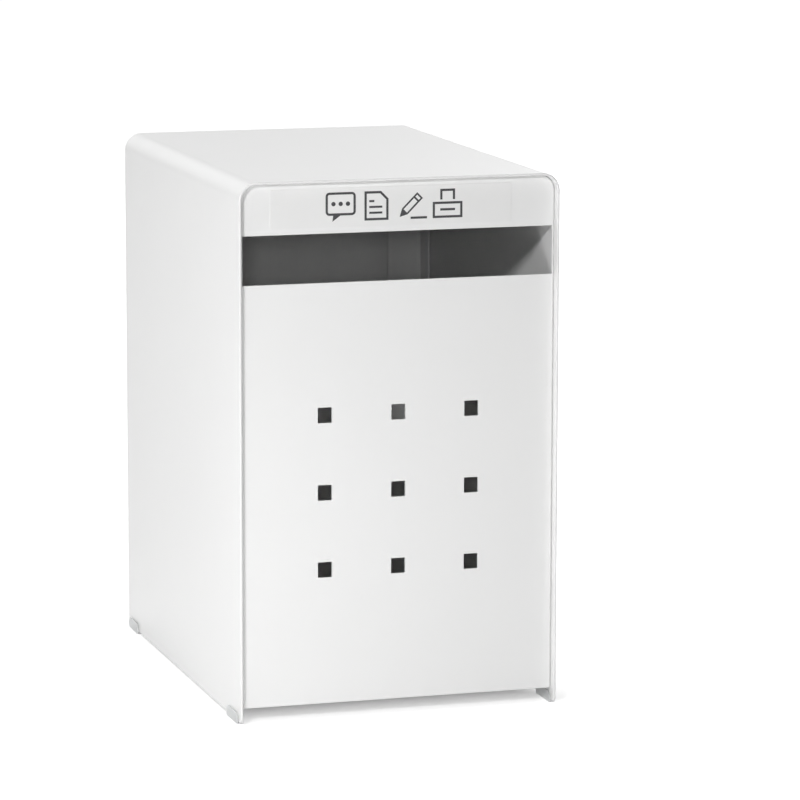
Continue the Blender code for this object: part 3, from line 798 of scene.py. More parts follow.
@dataclass(frozen=True)
class TurnedChrome(Finish):
    """Chrome plate over a turned face, with a few scuffs. Its rings run about an axis along Y."""

    name: str = "turned_chrome"
    slot: Slot = Slot.CHROME
    colour: Colour = (0.72, 0.72, 0.73)
    second: Colour = (0.6696, 0.6696, 0.6789)
    tone_scale: float = 200.0
    gloss: float = 0.16
    scuff_density: float = 500.0
    scuff_width: float = 0.02
    scuff_rub: float = 0.14
    depth: float = 0.0000012
    metallic: float = 1.0
    ring_pitch: float = 0.00012
    axis_x: float = 0.0
    axis_z: float = 0.0

    def height(self, board: NodeBoard, place: Socket, effects: SurfaceEffects) -> Socket:
        """Works out the height of the fine turned rings.

        Args:
            board: The material's nodes.
            place: The Object coordinates.
            effects: The shared effects, which the rings don't need.

        Returns:
            The height.
        """
        shift = {"Vector": place, "Location": (-self.axis_x, 0.0, -self.axis_z)}
        middle = board.add("ShaderNodeMapping", shift).outputs["Vector"]
        parts = board.add("ShaderNodeSeparateXYZ", {"Vector": middle}).outputs
        across, up = (board.calculate("MULTIPLY", parts[axis], parts[axis]) for axis in "XZ")
        radius = board.calculate("SQRT", board.calculate("ADD", across, up))
        return board.calculate("SINE", board.calculate("MULTIPLY", radius, FULL_TURN / self.ring_pitch))


@dataclass(frozen=True)
class ClearRubber(Finish):
    """Soft clear rubber, with an uneven haze and soft ripples."""

    name: str = "clear_soft_rubber"
    slot: Slot = Slot.RUBBER
    colour: Colour = (0.86, 0.87, 0.87)
    second: Colour = (0.8084, 0.8178, 0.8178)
    tone_scale: float = 300.0
    gloss: float = 0.4
    gloss_scale: float = 300.0
    gloss_drift: float = 0.06
    dimples: float = 1200.0
    grain: float = 5000.0
    depth: float = 0.00002
    ior: float = 1.35
    transmission: float = 0.45


COAT = PowderCoat()
FILM = LabelFilm()
INK = PrintInk()
ZINC = ZincPlate()
RUBBER = ClearRubber()


@dataclass
class Workshop:
    """Holds the materials, and dresses finished pieces with them."""

    effects: SurfaceEffects
    made: dict[str, bpy.types.Material] = field(default_factory=dict)

    def dress(self, piece: Piece, finish: Finish, body: Body, *nodes: str) -> None:
        """Gives a piece its finish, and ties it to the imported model.

        Args:
            piece: The finished piece.
            finish: Its finish.
            body: The body that it rides on.
            nodes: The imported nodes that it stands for.
        """
        if finish.name not in self.made:
            self.made[finish.name] = finish.make(self.effects)
        piece.data.materials.clear()
        piece.data.materials.append(self.made[finish.name])
        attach(piece, body.value)
        if nodes:
            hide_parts(*nodes)
        LOG.info("%s: %d faces on %s", piece.name, len(piece.data.polygons), body.value)


@dataclass
class SubAssembly:
    """What the sub-assemblies share: the workshop, the sheet, fine edges and the play of a fit."""

    workshop: Workshop
    sheet: float = 0.001
    edge_radius: float = 0.0002
    play: float = 0.0003
    fold_steps: int = 4

    def fold_pan(
        self, name: str, room: Extent, mouth: Vector, corners: list[tuple[Test, float]], bend: float
    ) -> Piece:
        """Folds a sheet into a pan: a flat face with flanges round it.

        Args:
            name: The piece's name.
            room: The box that it fills.
            mouth: The way that its open side looks.
            corners: Tests for the edges where two flanges meet, each with its radius.
            bend: The radius of the bends round its face.

        Returns:
            The pan.
        """
        pan = add_block(name, room.low, room.high)
        axis = [abs(value) for value in mouth].index(1)
        face = room.low[axis] if mouth[axis] > 0 else room.high[axis]
        with editing(pan):
            remove_sides(pan, mouth)
            for test, radius in corners:
                round_off(pan, test, radius, self.fold_steps)
            round_off(pan, lying_at((axis, face)), bend, self.fold_steps)
        thicken(pan, self.sheet)
        return pan


@dataclass
class Cabinet(SubAssembly):
    """The shell and the panels inside it."""

    shell_edge: float = 0.0004
    shell_edge_steps: int = 4
    shell_bend: float = 0.0075
    shell_bend_steps: int = 28
    front_corner: float = 0.002
    rear_corner: float = 0.004
    corner_steps: int = 8
    panel_bend: float = 0.0013
    panel_top_corner: float = 0.0062
    seam_fill: float = 0.00028
    nameplate_height: float = 0.0206
    slot_height: float = 0.02
    slot_end_inset: float = 0.0011
    window_size: Vector = field(default_factory=lambda: Vector((0.006, 0.0, 0.0064)))
    window_pitch: Vector = field(default_factory=lambda: Vector((0.0311, 0.0, 0.03187)))
    window_grid_rise: float = 0.0008
    windows_each_way: int = 3
    window_corner: float = 0.0004
    tray_bend: float = 0.0015
    tray_corner: float = 0.002
    frame_bend: float = 0.0015
    frame_bottom_corner: float = 0.002
    frame_top_corner: float = 0.0062
    frame_opening_corner: float = 0.003
    frame_side_lip: float = 0.0162
    frame_top_lip: float = 0.0144
    frame_bottom_lip: float = 0.0115

    def build(self) -> None:
        """Builds all its pieces."""
        self.build_shell()
        self.build_front_panel()
        self.build_base_tray()
        self.build_rear_frame()

    def build_shell(self) -> None:
        """Bends one sheet into both sides and the top."""
        room = Extent.of("outer_shell")
        shell = add_block("shell_sheet", room.low, room.high)
        with editing(shell):
            remove_sides(shell, FRONT, REAR, DOWN)
            for end, radius in ((room.low.y, self.front_corner), (room.high.y, self.rear_corner)):
                test = lying_at((Z, room.low.z), (Y, end))
                round_off(shell, test, radius, self.corner_steps, Kind.CORNER)
            for side in (room.low.x, room.high.x):
                test = running_along(Y, (X, side), (Z, room.high.z))
                round_off(shell, test, self.shell_bend, self.shell_bend_steps)
        thicken(shell, self.sheet)
        soften(shell, self.shell_edge, self.shell_edge_steps)
        self.workshop.dress(shell, COAT, Body.CABINET, "outer_shell")

    def build_front_panel(self) -> None:
        """Folds the sheet that fills the front, and cuts its slot and its windows."""
        room = Extent.of("front_panel")
        low = room.low - Vector((self.seam_fill, 0, 0))
        high = room.high + Vector((self.seam_fill, 0, self.seam_fill))
        panel = add_block("front_sheet", low, high)
        with editing(panel):
            remove_sides(panel, REAR, DOWN)
            for side in (low.x, high.x):
                test = running_along(Y, (X, side), (Z, high.z))
                round_off(panel, test, self.panel_top_corner + self.seam_fill, self.corner_steps)
            front = lying_at((Y, low.y))
            round_off(
                panel,
                lambda a, b: front(a, b) and max(a.z, b.z) - TINY > low.z,
                self.panel_bend,
                self.corner_steps,
            )
        thicken(panel, self.sheet)
        combine(panel, self.build_slot_tool(room))
        combine(panel, self.build_window_punch(room))
        soften(panel, self.edge_radius)
        self.workshop.dress(panel, COAT, Body.CABINET, "front_panel")

    def build_slot_tool(self, room: Extent) -> Piece:
        """Builds the tool that cuts the slot from side fold to side fold.

        Args:
            room: The front panel's extent.

        Returns:
            The tool.
        """
        top = room.high.z - self.nameplate_height
        half = room.high.x + self.seam_fill - self.slot_end_inset
        low = Vector((-half, room.low.y - 2 * self.sheet, top - self.slot_height))
        high = Vector((half, room.low.y + 3 * self.sheet, top))
        return add_block("slot_tool", low, high)

    def build_window_punch(self, room: Extent) -> Piece:
        """Builds the tool that punches the windows: square pins with slightly round corners.

        Args:
            room: The front panel's extent.

        Returns:
            The pins, as one object.
        """
        slot_bottom = room.high.z - self.nameplate_height - self.slot_height
        grid = Vector((0, room.low.y, (room.low.z + slot_bottom) / 2 + self.window_grid_rise))
        reach = self.window_size / 2 + REAR * 2 * self.sheet
        steps = centred(self.windows_each_way)
        pins = []
        for up in reversed(steps):
            for across in steps:
                centre = grid + Vector((across * self.window_pitch.x, 0, up * self.window_pitch.z))
                pin = add_bar("window_pin", centre, centre, reach)
                with editing(pin):
                    round_off(pin, running_along(Y), self.window_corner, self.fold_steps)
                pins.append(pin)
        return joined(pins)

    def build_base_tray(self) -> None:
        """Folds the floor of the box."""
        corners = [(running_along(Z), self.tray_corner)]
        tray = self.fold_pan("base_sheet", Extent.of("base_tray"), UP, corners, self.tray_bend)
        soften(tray, self.edge_radius)
        self.workshop.dress(tray, COAT, Body.CABINET, "base_tray")

    def build_rear_frame(self) -> None:
        """Folds the frame that the door closes against, and cuts its opening."""
        room = Extent.of("rear_frame")
        corners = [
            (running_along(Y, (Z, room.low.z)), self.frame_bottom_corner),
            (running_along(Y, (Z, room.high.z)), self.frame_top_corner),
        ]
        frame = self.fold_pan("frame_sheet", room, FRONT, corners, self.frame_bend)
        low = Vector((room.low.x + self.frame_side_lip, 0, room.low.z + self.frame_bottom_lip))
        high = Vector((room.high.x - self.frame_side_lip, 0, room.high.z - self.frame_top_lip))
        low.y, high.y = room.high.y - 2 * self.sheet, room.high.y + self.sheet
        opening = add_block("opening_tool", low, high)
        with editing(opening):
            round_off(opening, running_along(Y), self.frame_opening_corner, self.corner_steps)
        combine(frame, opening)
        soften(frame, self.edge_radius)
        self.workshop.dress(frame, COAT, Body.CABINET, "rear_frame")


@dataclass
class Label(SubAssembly):
    """The label film above the slot, with four plain marks printed on it.

    Lengths that end in _strokes count in widths of the printed line, and shares are of the
    mark's or the page's half width or height.
    """

    film_corner: float = 0.0008
    film_corner_steps: int = 6
    film_edge: float = 0.00005
    ink_thickness: float = 0.00003
    half_width: float = 0.0063
    half_height: float = 0.0059
    mark_pitch: float = 0.015
    mark_shift: float = 0.001
    mark_rise: float = 0.0003
    stroke: float = 0.00095
    bubble_radius: float = 0.0016
    tail_height: float = 0.0024
    tail_shares: tuple[float, float, float] = (0.5, 0.55, 0.02)
    dot_count: int = 3
    dot_sides: int = 16
    dot_pitch_share: float = 0.48
    dot_radius_strokes: float = 0.95
    page_share: float = 0.8
    fold_share: float = 0.62
    text_lines: tuple[Point, ...] = ((0.32, 0.35), (-0.08, 0.9), (-0.48, 0.9))
    text_inset_strokes: float = 2.1
    text_strokes: float = 0.9
    pencil_radius: float = 0.0017
    pencil_length: float = 0.0122
    pencil_point: float = 0.0032
    pencil_tip_share: float = 0.84
    pencil_wall_strokes: float = 0.75
    pencil_body_strokes: Point = (0.2, 2.7)
    pencil_end_strokes: Point = (1.9, 0.75)
    underline_share: float = 0.1
    box_top_share: float = 0.12
    box_slot_share: float = 0.5
    box_gap_strokes: float = 0.9

    def build(self) -> None:
        """Builds the film and its marks."""
        room = Extent.of("label_sticker")
        film = add_block("label_film_sheet", room.low, room.high)
        with editing(film):
            round_off(film, running_along(Y), self.film_corner, self.film_corner_steps)
        soften(film, self.film_edge, steps=2)
        self.workshop.dress(film, FILM, Body.CABINET, "label_sticker")
        shapes = list(MarkShape)
        for step, shape in zip(centred(len(shapes)), shapes):
            across = step * self.mark_pitch + self.mark_shift
            centre = Vector((room.middle.x + across, room.low.y, room.middle.z + self.mark_rise))
            self.build_mark(shape, centre)

    def build_mark(self, shape: MarkShape, centre: Vector) -> None:
        """Prints one mark.

        Args:
            shape: Which mark.
            centre: Its centre on the label's face.
        """
        outlines = {
            MarkShape.SPEECH: self.draw_speech,
            MarkShape.SLIP: self.draw_slip,
            MarkShape.PENCIL: self.draw_pencil,
            MarkShape.BOX: self.draw_box,
        }[shape]()
        curve = bpy.data.curves.new(f"label_mark_{shape.value}", "CURVE")
        curve.dimensions = "2D"
        curve.fill_mode = "BOTH"
        curve.extrude = self.ink_thickness / 2
        for outline in outlines:
            spline = curve.splines.new("POLY")
            spline.points.add(len(outline) - 1)
            for point, (across, up) in zip(spline.points, outline):
                point.co = (across, up, 0, 1)
            spline.use_cyclic_u = True
        mark = bpy.data.objects.new(curve.name, curve)
        bpy.context.scene.collection.objects.link(mark)
        mark.rotation_euler = (QUARTER_TURN, 0, 0)
        mark.location = centre + FRONT * self.ink_thickness / 2
        make_active(mark)
        bpy.ops.object.convert(target="MESH")
        mark = placed(curve.name)
        with editing(mark):
            bpy.ops.mesh.select_all(action="SELECT")
            bpy.ops.mesh.remove_doubles(threshold=TINY / 10)
        self.workshop.dress(mark, INK, Body.CABINET)

    def draw_speech(self) -> list[Outline]:
        """Draws a speech bubble with three dots.

        Returns:
            Its outlines.
        """
        x, y, w = self.half_width, self.half_height, self.stroke
        foot, radius = -y + self.tail_height, self.bubble_radius
        outer = rounded_outline((-x, foot), (x, y), radius)
        corner_end = len(outer) // 4
        tail = [(-x * share, level) for share, level in zip(self.tail_shares, (foot, -y, foot))]
        outer[corner_end:corner_end] = tail
        inner = rounded_outline((-x + w, foot + w), (x - w, y - w), radius - w)
        dots = []
        for step in centred(self.dot_count):
            centre = (step * x * self.dot_pitch_share, (foot + y) / 2)
            dots.append(ring(centre, w * self.dot_radius_strokes, 0, FULL_TURN, self.dot_sides)[:-1])
        return [outer, inner, *dots]

    def draw_slip(self) -> list[Outline]:
        """Draws a page with a folded corner and lines.

        Returns:
            Its outlines.
        """
        x, y, w = self.half_width * self.page_share, self.half_height, self.stroke
        fold = x * self.fold_share
        outer = [(-x, -y), (x, -y), (x, y - fold), (x - fold, y), (-x, y)]
        slope = w * math.tan(QUARTER_TURN / 4)
        bend = [(x - w, y - fold - slope), (x - fold - slope, y - w)]
        inner = [(-x + w, -y + w), (x - w, -y + w), *bend, (-x + w, y - w)]
        left = -x + self.text_inset_strokes * w
        lines = []
        for level, share in self.text_lines:
            right = left + (2 * x - 2 * self.text_inset_strokes * w) * share
            low = level * y - w * self.text_strokes / 2
            lines.append(rectangle((left, low), (right, low + w * self.text_strokes)))
        return [outer, inner, *lines]

    def draw_pencil(self) -> list[Outline]:
        """Draws a pencil that points down to the left, over a short line.

        Returns:
            Its outlines.
        """
        x, y, w = self.half_width, self.half_height, self.stroke
        half, length, point = self.pencil_radius, self.pencil_length, self.pencil_point
        tip = Vector((-x * self.pencil_tip_share, -y * self.pencil_tip_share))
        along = Vector((1, 1)).normalized()
        side = Vector((-1, 1)).normalized()

        def spots(*places: Point) -> Outline:
            """Gives points on the pencil by their way from its tip and off its axis."""
            return [tuple(tip + along * run + side * off) for run, off in places]

        wall = half - w * self.pencil_wall_strokes
        body_start, body_end = self.pencil_body_strokes
        end_start, end_end = self.pencil_end_strokes
        outer = spots((0, 0), (point, -half), (length, -half), (length, half), (point, half))
        body = spots(*rectangle((point + w * body_start, -wall), (length - body_end * w, wall)))
        end = spots(*rectangle((length - end_start * w, -wall), (length - w * end_end, wall)))
        line = rectangle((-x * self.underline_share, -y), (x, -y + w))
        return [outer, body, end, line]

    def draw_box(self) -> list[Outline]:
        """Draws a ballot box with a page in its slot.

        Returns:
            Its outlines.
        """
        x, y, w = self.half_width, self.half_height, self.stroke
        top, half, level = y * self.box_top_share, x * self.box_slot_share, -y * self.box_slot_share
        box_outer = rectangle((-x, -y), (x, top))
        box_inner = rectangle((-x + w, -y + w), (x - w, top - w))
        slot = rectangle((-half, level), (half, level + w))
        low = top + w * self.box_gap_strokes
        outer = rectangle((-half, low), (half, y))
        inner = rectangle((-half + w, low), (half - w, y - w))
        page = [outer[0], inner[0], *reversed(inner[1:]), *outer[1:]]
        return [box_outer, box_inner, slot, page]


@dataclass
class RearDoor(SubAssembly):
    """The folded rear door."""

    bend: float = 0.0015
    small_corner: float = 0.002
    top_corner: float = 0.0055
    lock_hole: float = 0.0063
    hole_sides: int = 48

    def build(self) -> None:
        """Folds the door and cuts its hole for the lock."""
        room = Extent.of("rear_door")
        lock = Extent.of("lock_body").middle
        left, right, bottom, top = room.low.x, room.high.x, room.low.z, room.high.z
        corners = [(running_along(Y, (X, left), (Z, top)), self.top_corner)]
        for x, z in ((left, bottom), (right, bottom), (right, top)):
            corners.append((running_along(Y, (X, x), (Z, z)), self.small_corner))
        door = self.fold_pan("door_sheet", room, FRONT, corners, self.bend)
        start = Vector((lock.x, room.high.y - 2 * self.sheet, lock.z))
        end = Vector((lock.x, room.high.y + self.sheet, lock.z))
        combine(door, add_rod("lock_hole_tool", self.lock_hole, start, end, self.hole_sides))
        soften(door, self.edge_radius)
        self.workshop.dress(door, COAT, Body.DOOR, "rear_door")


@dataclass
class Hinge(SubAssembly):
    """The long hinge: two leaves with rolled knuckles, the pin and the rivets."""

    leaf_edge: float = 0.00008
    knuckle_radius: float = 0.0022
    notch: float = 0.0026
    knuckles: int = 9
    knuckle_gap: float = 0.0004
    roll_angle: float = math.radians(316)
    roll_steps: int = 30
    pin_radius: float = 0.001
    pin_head_height: float = 0.0008
    pin_chamfer: float = 0.00025
    pin_sides: int = 36
    rivet_count: int = 4
    rivet_sides: int = 32
    rivet_radius: float = 0.0015
    rivet_head_height: float = 0.001
    rivet_tail_radius: float = 0.0022
    rivet_tail_height: float = 0.0008
    rivet_chamfer: float = 0.0002

    def build(self) -> None:
        """Builds both leaves, the pin and the rivets."""
        self.build_leaf("hinge_frame_leaf", "frame_leaf", RIGHT, 0, Body.CABINET)
        self.build_leaf("hinge_door_leaf", "door_leaf", LEFT, 1, Body.DOOR)
        self.build_pin()
        for number in range(1, self.rivet_count + 1):
            self.build_rivet(f"hinge_rivet_{number}", LEFT, Body.DOOR)
        for side in ("left", "right"):
            self.build_rivet(f"base_rivet_{side}", UP, Body.CABINET)

    def build_leaf(self, node: str, name: str, side: Vector, first: int, body: Body) -> None:
        """Cuts a leaf out of sheet and rolls its knuckles round the pin.

        Args:
            node: The leaf's node.
            name: The piece's name.
            side: The side of the pin that its plate lies on, LEFT or RIGHT.
            first: The number of its first knuckle, 0 or 1.
            body: The body that it rides on.
        """
        pin = Extent.of("hinge_pin").middle
        room = Extent.of(node)
        full = Extent.of("hinge_frame_leaf")
        outer_x = pin.x + side.x * self.knuckle_radius
        inner_x = outer_x - side.x * self.sheet
        low = Vector((min(outer_x, inner_x), room.low.y, full.low.z))
        high = Vector((max(outer_x, inner_x), pin.y - self.notch, full.high.z))
        leaf = add_block(name, low, high)
        pitch = (full.high.z - full.low.z) / self.knuckles

        def own_end(middle: Vector, normal: Vector) -> bool:
            """Takes the plate's rear faces that lie at the leaf's own knuckles."""
            number = int((middle.z - full.low.z) / pitch)
            return normal.y > FACING and near(middle.y, high.y) and (number - first) % 2 == 0

        with editing(leaf):
            for number in range(1, self.knuckles):
                own_above = (number - first) % 2 == 0
                shift = self.knuckle_gap / 2 * (1 if own_above else -1)
                level = Vector((0, 0, full.low.z + number * pitch + shift))
                bpy.ops.mesh.select_all(action="SELECT")
                bpy.ops.mesh.bisect(plane_co=level, plane_no=UP)
            pick(leaf, Kind.FACE, own_end)
            bpy.ops.mesh.extrude_region_move(TRANSFORM_OT_translate={"value": (0, self.notch, 0)})
            bpy.ops.mesh.spin(
                steps=self.roll_steps,
                angle=-self.roll_angle * side.x,
                center=(pin.x, pin.y, 0),
                axis=-UP,
            )
        soften(leaf, self.leaf_edge, steps=2)
        self.workshop.dress(leaf, ZINC, body, node)

    def build_pin(self) -> None:
        """Turns the pin, with a chamfered head at each end."""
        room = Extent.of("hinge_pin")
        half, head, c = room.size.z / 2, room.size.x / 2, self.pin_chamfer
        under = half - self.pin_head_height
        upper = [(0.0, half), (head - c, half), (head, half - c), (head, under), (self.pin_radius, under)]
        pin = turned("hinge_pin_rod", with_mirror(upper), room.middle, UP, self.pin_sides)
        shade(pin)
        self.workshop.dress(pin, ZINC, Body.CABINET, "hinge_pin")

    def build_rivet(self, node: str, head_way: Vector, body: Body) -> None:
        """Turns a rivet: a domed head on one side, and an upset tail on the other.

        Args:
            node: The rivet's node.
            head_way: The way that its head looks.
            body: The body that it rides on.
        """
        room = Extent.of(node)
        axis = X if head_way.x else Z
        half = room.size[axis] / 2
        seat = half - self.rivet_head_height
        upset = self.rivet_tail_height - half
        tail, c = self.rivet_tail_radius, self.rivet_chamfer
        profile = [
            *dome(room.size.y / 2, seat, self.rivet_head_height),
            (self.rivet_radius, seat),
            (self.rivet_radius, upset),
            (tail, upset),
            (tail, c - half),
            (tail - c, -half),
            (0.0, -half),
        ]
        way = Vector(abs(value) for value in head_way)
        if head_way[axis] < 0:
            profile = [(radius, -height) for radius, height in profile]
        rivet = turned(node.replace("rivet", "stud"), profile, room.middle, way, self.rivet_sides)
        shade(rivet)
        self.workshop.dress(rivet, ZINC, body, node)


@dataclass
class CamLock(SubAssembly):
    """The cam lock: the fixed sleeve and nut, and the plug, cam, washer and screw that turn."""

    chrome: TurnedChrome = field(init=False)
    centre: Vector = field(init=False)
    face_y: float = field(init=False)
    head_height: float = 0.0014
    chamfer: float = 0.0004
    crown_out: float = 0.7
    crown_down: float = 0.3
    barrel_radius: float = 0.006
    thread_pitch: float = 0.0008
    thread_depth: float = 0.0003
    thread_root: float = 0.45
    thread_crest: float = 0.9
    nut_sides: int = 6
    nut_slope_out: float = 1.1
    nut_slope_down: float = 0.5
    plug_radius: float = 0.0042
    plug_flange_radius: float = 0.0052
    plug_flange_height: float = 0.0008
    keyway: Vector = field(default_factory=lambda: Vector((0.002, 0.0075, 0.0064)))
    keyway_round: float = 0.45
    keyway_steps: int = 6
    tail_square: float = 0.005
    screw_radius: float = 0.0013
    screw_reach: float = 0.0052
    screw_dome: float = 0.8
    screw_sides: int = 48
    screw_hole_sides: int = 32
    cross_width: float = 0.0004
    cross_length: float = 0.0018
    cross_depth: float = 0.0011
    sides: int = 64

    def __post_init__(self) -> None:
        """Reads where the lock is, and centres its chrome there."""
        room = Extent.of("lock_body")
        self.centre, self.face_y = room.middle, room.high.y
        self.chrome = TurnedChrome(axis_x=self.centre.x, axis_z=self.centre.z)

    def build(self) -> None:
        """Builds all its pieces."""
        self.build_sleeve()
        self.build_nut()
        self.build_plug()
        self.build_cam()
        self.build_washer()
        self.build_screw()

    def on_axis(self, y: float) -> Vector:
        """Gives a point on the lock's axis."""
        return Vector((self.centre.x, y, self.centre.z))

    def build_sleeve(self) -> None:
        """Turns the sleeve: a chamfered head, and a barrel with a fine thread."""
        room = Extent.of("lock_body")
        head, c = room.size.x / 2, self.chamfer
        end, seat = room.low.y - self.face_y, -self.head_height
        bore, recess = self.plug_radius + self.play, -self.plug_flange_height - self.play
        recess_radius = self.plug_flange_radius + self.play
        profile = [
            (recess_radius, 0.0),
            (recess_radius + c / 2, 0.0),
            (head - 2 * c, 0.0),
            (head - self.crown_out * c, -self.crown_down * c),
            (head, -c),
            (head, seat),
            (self.barrel_radius, seat),
            *self.thread_profile(seat - self.thread_pitch, end + c),
            (self.barrel_radius - c, end),
            (bore, end),
            (bore, recess),
            (recess_radius, recess),
        ]
        sleeve = turned("lock_sleeve", profile, self.on_axis(self.face_y), REAR, self.sides)
        shade(sleeve)
        self.workshop.dress(sleeve, self.chrome, Body.DOOR, "lock_body")

    def thread_profile(self, start: float, end: float) -> Outline:
        """Works out the section of the barrel's thread.

        Args:
            start: The height where it starts.
            end: The lower height where it ends.

        Returns:
            The section's corners, from start to end.
        """
        count = int((start - end) / self.thread_pitch)
        pitch = (start - end) / count
        outer, root = self.barrel_radius, self.barrel_radius - self.thread_depth
        points = [(outer, start)]
        for turn in range(count):
            crest = start - turn * pitch
            points.append((root, crest - pitch * self.thread_root))
            points.append((outer, crest - pitch * self.thread_crest))
            points.append((outer, crest - pitch))
        return points

    def build_nut(self) -> None:
        """Builds the six-sided nut, with its corners chamfered on both sides."""
        room = Extent.of("lock_nut")
        low, high = room.low.y, room.high.y
        corner = room.size.x / 2
        flat = corner * math.cos(HALF_TURN / self.nut_sides)
        start, end = self.on_axis(low), self.on_axis(high)
        nut = add_rod("lock_ring_nut", corner, start, end, self.nut_sides)
        with editing(nut):
            bpy.ops.mesh.select_all(action="SELECT")
            bpy.ops.transform.rotate(
                value=self.nut_turn(nut),
                orient_axis="Y",
                center_override=self.on_axis(room.middle.y),
            )
        out = (corner - flat) * self.nut_slope_out
        down = out * self.nut_slope_down
        envelope = [
            (0.0, high),
            (flat, high),
            (flat + out, high - down),
            (flat + out, low + down),
            (flat, low),
            (0.0, low),
        ]
        combine(nut, turned("nut_envelope", envelope, self.on_axis(0), REAR, self.sides), Merge.KEEP)
        bore = self.barrel_radius + self.play
        combine(nut, add_rod("nut_bore_tool", bore, start + FRONT * bore, end + REAR * bore, self.sides))
        shade(nut)
        self.workshop.dress(nut, ZINC, Body.DOOR, "lock_nut")

    def nut_turn(self, nut: Piece) -> float:
        """Works out the turn that brings a corner of the nut level with its axis.

        Args:
            nut: The nut, in edit mode.

        Returns:
            The angle.
        """
        shape = bmesh.from_edit_mesh(nut.data)
        shape.verts.ensure_lookup_table()
        spot = shape.verts[0].co - self.centre
        return math.atan2(spot.z, spot.x) % (FULL_TURN / self.nut_sides)

    def build_plug(self) -> None:
        """Turns the plug, and cuts its keyway and the hole for the screw."""
        barrel_end = Extent.of("lock_body").low.y
        c, tail_end = self.chamfer / 2, Extent.of("lock_plug").low.y
        flange, step, end = self.plug_flange_radius, -self.plug_flange_height, barrel_end - self.face_y
        profile = [
            (0.0, 0.0),
            (flange - c, 0.0),
            (flange, -c),
            (flange, step),
            (self.plug_radius, step),
            (self.plug_radius, end),
            (0.0, end),
        ]
        plug = turned("lock_core", profile, self.on_axis(self.face_y), REAR, self.sides)
        half = Vector((self.tail_square, 0, self.tail_square)) / 2
        tail_start = self.on_axis(barrel_end + self.plug_radius / 4)
        combine(plug, add_bar("core_tail", self.on_axis(tail_end), tail_start, half), Merge.ADD)
        combine(plug, self.build_keyway_tool())
        start = self.on_axis(tail_end - self.play)
        depth = self.on_axis(tail_end + self.screw_reach + self.play)
        radius = self.screw_radius + self.play
        combine(plug, add_rod("screw_hole_tool", radius, start, depth, self.screw_hole_sides))
        soften(plug, self.chamfer / 5, steps=2)
        self.workshop.dress(plug, self.chrome, Body.LOCK, "lock_plug")

    def build_keyway_tool(self) -> Piece:
        """Builds the tool that cuts the keyway: a tall slot with round ends.

        Returns:
            The tool.
        """
        half = Vector((self.keyway.x, 0, self.keyway.z)) / 2
        start = self.on_axis(self.face_y - self.keyway.y)
        tool = add_bar("keyway_tool", start, self.on_axis(self.face_y + self.chamfer), half)
        with editing(tool):
            round_off(tool, running_along(Y), self.keyway.x * self.keyway_round, self.keyway_steps)
        return tool

    def build_cam(self) -> None:
        """Cuts the cam out of plate: a round hub with a square hole, and an arm with a round tip."""
        room = Extent.of("lock_cam")
        start, end = self.on_axis(room.low.y), self.on_axis(room.high.y)
        hub = room.size.x / 2
        arm = hub * 2 / 3
        cam = add_rod("lock_arm", hub, start, end, self.sides)
        tip = room.high.z - arm
        low = Vector((self.centre.x - arm, room.low.y, self.centre.z))
        high = Vector((self.centre.x + arm, room.high.y, tip))
        combine(cam, add_block("arm_blade", low, high), Merge.ADD)
        tip_start, tip_end = (Vector((self.centre.x, y, tip)) for y in (room.low.y, room.high.y))
        combine(cam, add_rod("arm_nose", arm, tip_start, tip_end, self.sides), Merge.ADD)
        side = self.tail_square / 2 + self.play
        combine(cam, add_bar("square_hole_tool", start, end, Vector((side, self.play, side))))
        soften(cam, self.chamfer / 3, steps=2)
        self.workshop.dress(cam, ZINC, Body.LOCK, "lock_cam")

    def build_washer(self) -> None:
        """Turns the washer under the screw."""
        room = Extent.of("cam_washer")
        half, rim, c = room.size.y / 2, room.size.x / 2, self.chamfer / 3
        upper = [(self.screw_radius + self.play, half), (rim - c, half), (rim, half - c)]
        washer = turned("cam_washer_ring", with_mirror(upper), room.middle, REAR, self.sides)
        shade(washer)
        self.workshop.dress(washer, ZINC, Body.LOCK, "cam_washer")

    def build_screw(self) -> None:
        """Turns the screw that holds the cam, and cuts the cross in its head."""
        room = Extent.of("cam_screw")
        head, end, tip = room.size.x / 2, room.low.y, room.high.y
        seat = Extent.of("cam_washer").low.y - self.play
        rise = (seat - end) * self.screw_dome
        profile = [
            *dome(head, end + rise, -rise),
            (head, seat),
            (self.screw_radius, seat),
            (self.screw_radius, tip - self.chamfer),
            (self.screw_radius - self.chamfer, tip),
            (0.0, tip),
        ]
        screw = turned("cam_cross_screw", profile, self.on_axis(0), REAR, self.screw_sides)
        start, bottom = self.on_axis(end - self.play), self.on_axis(end + self.cross_depth)
        for x, z in ((self.cross_width, self.cross_length), (self.cross_length, self.cross_width)):
            combine(screw, add_bar("cross_tool", start, bottom, Vector((x, 0, z))))
        shade(screw)
        self.workshop.dress(screw, ZINC, Body.LOCK, "cam_screw")


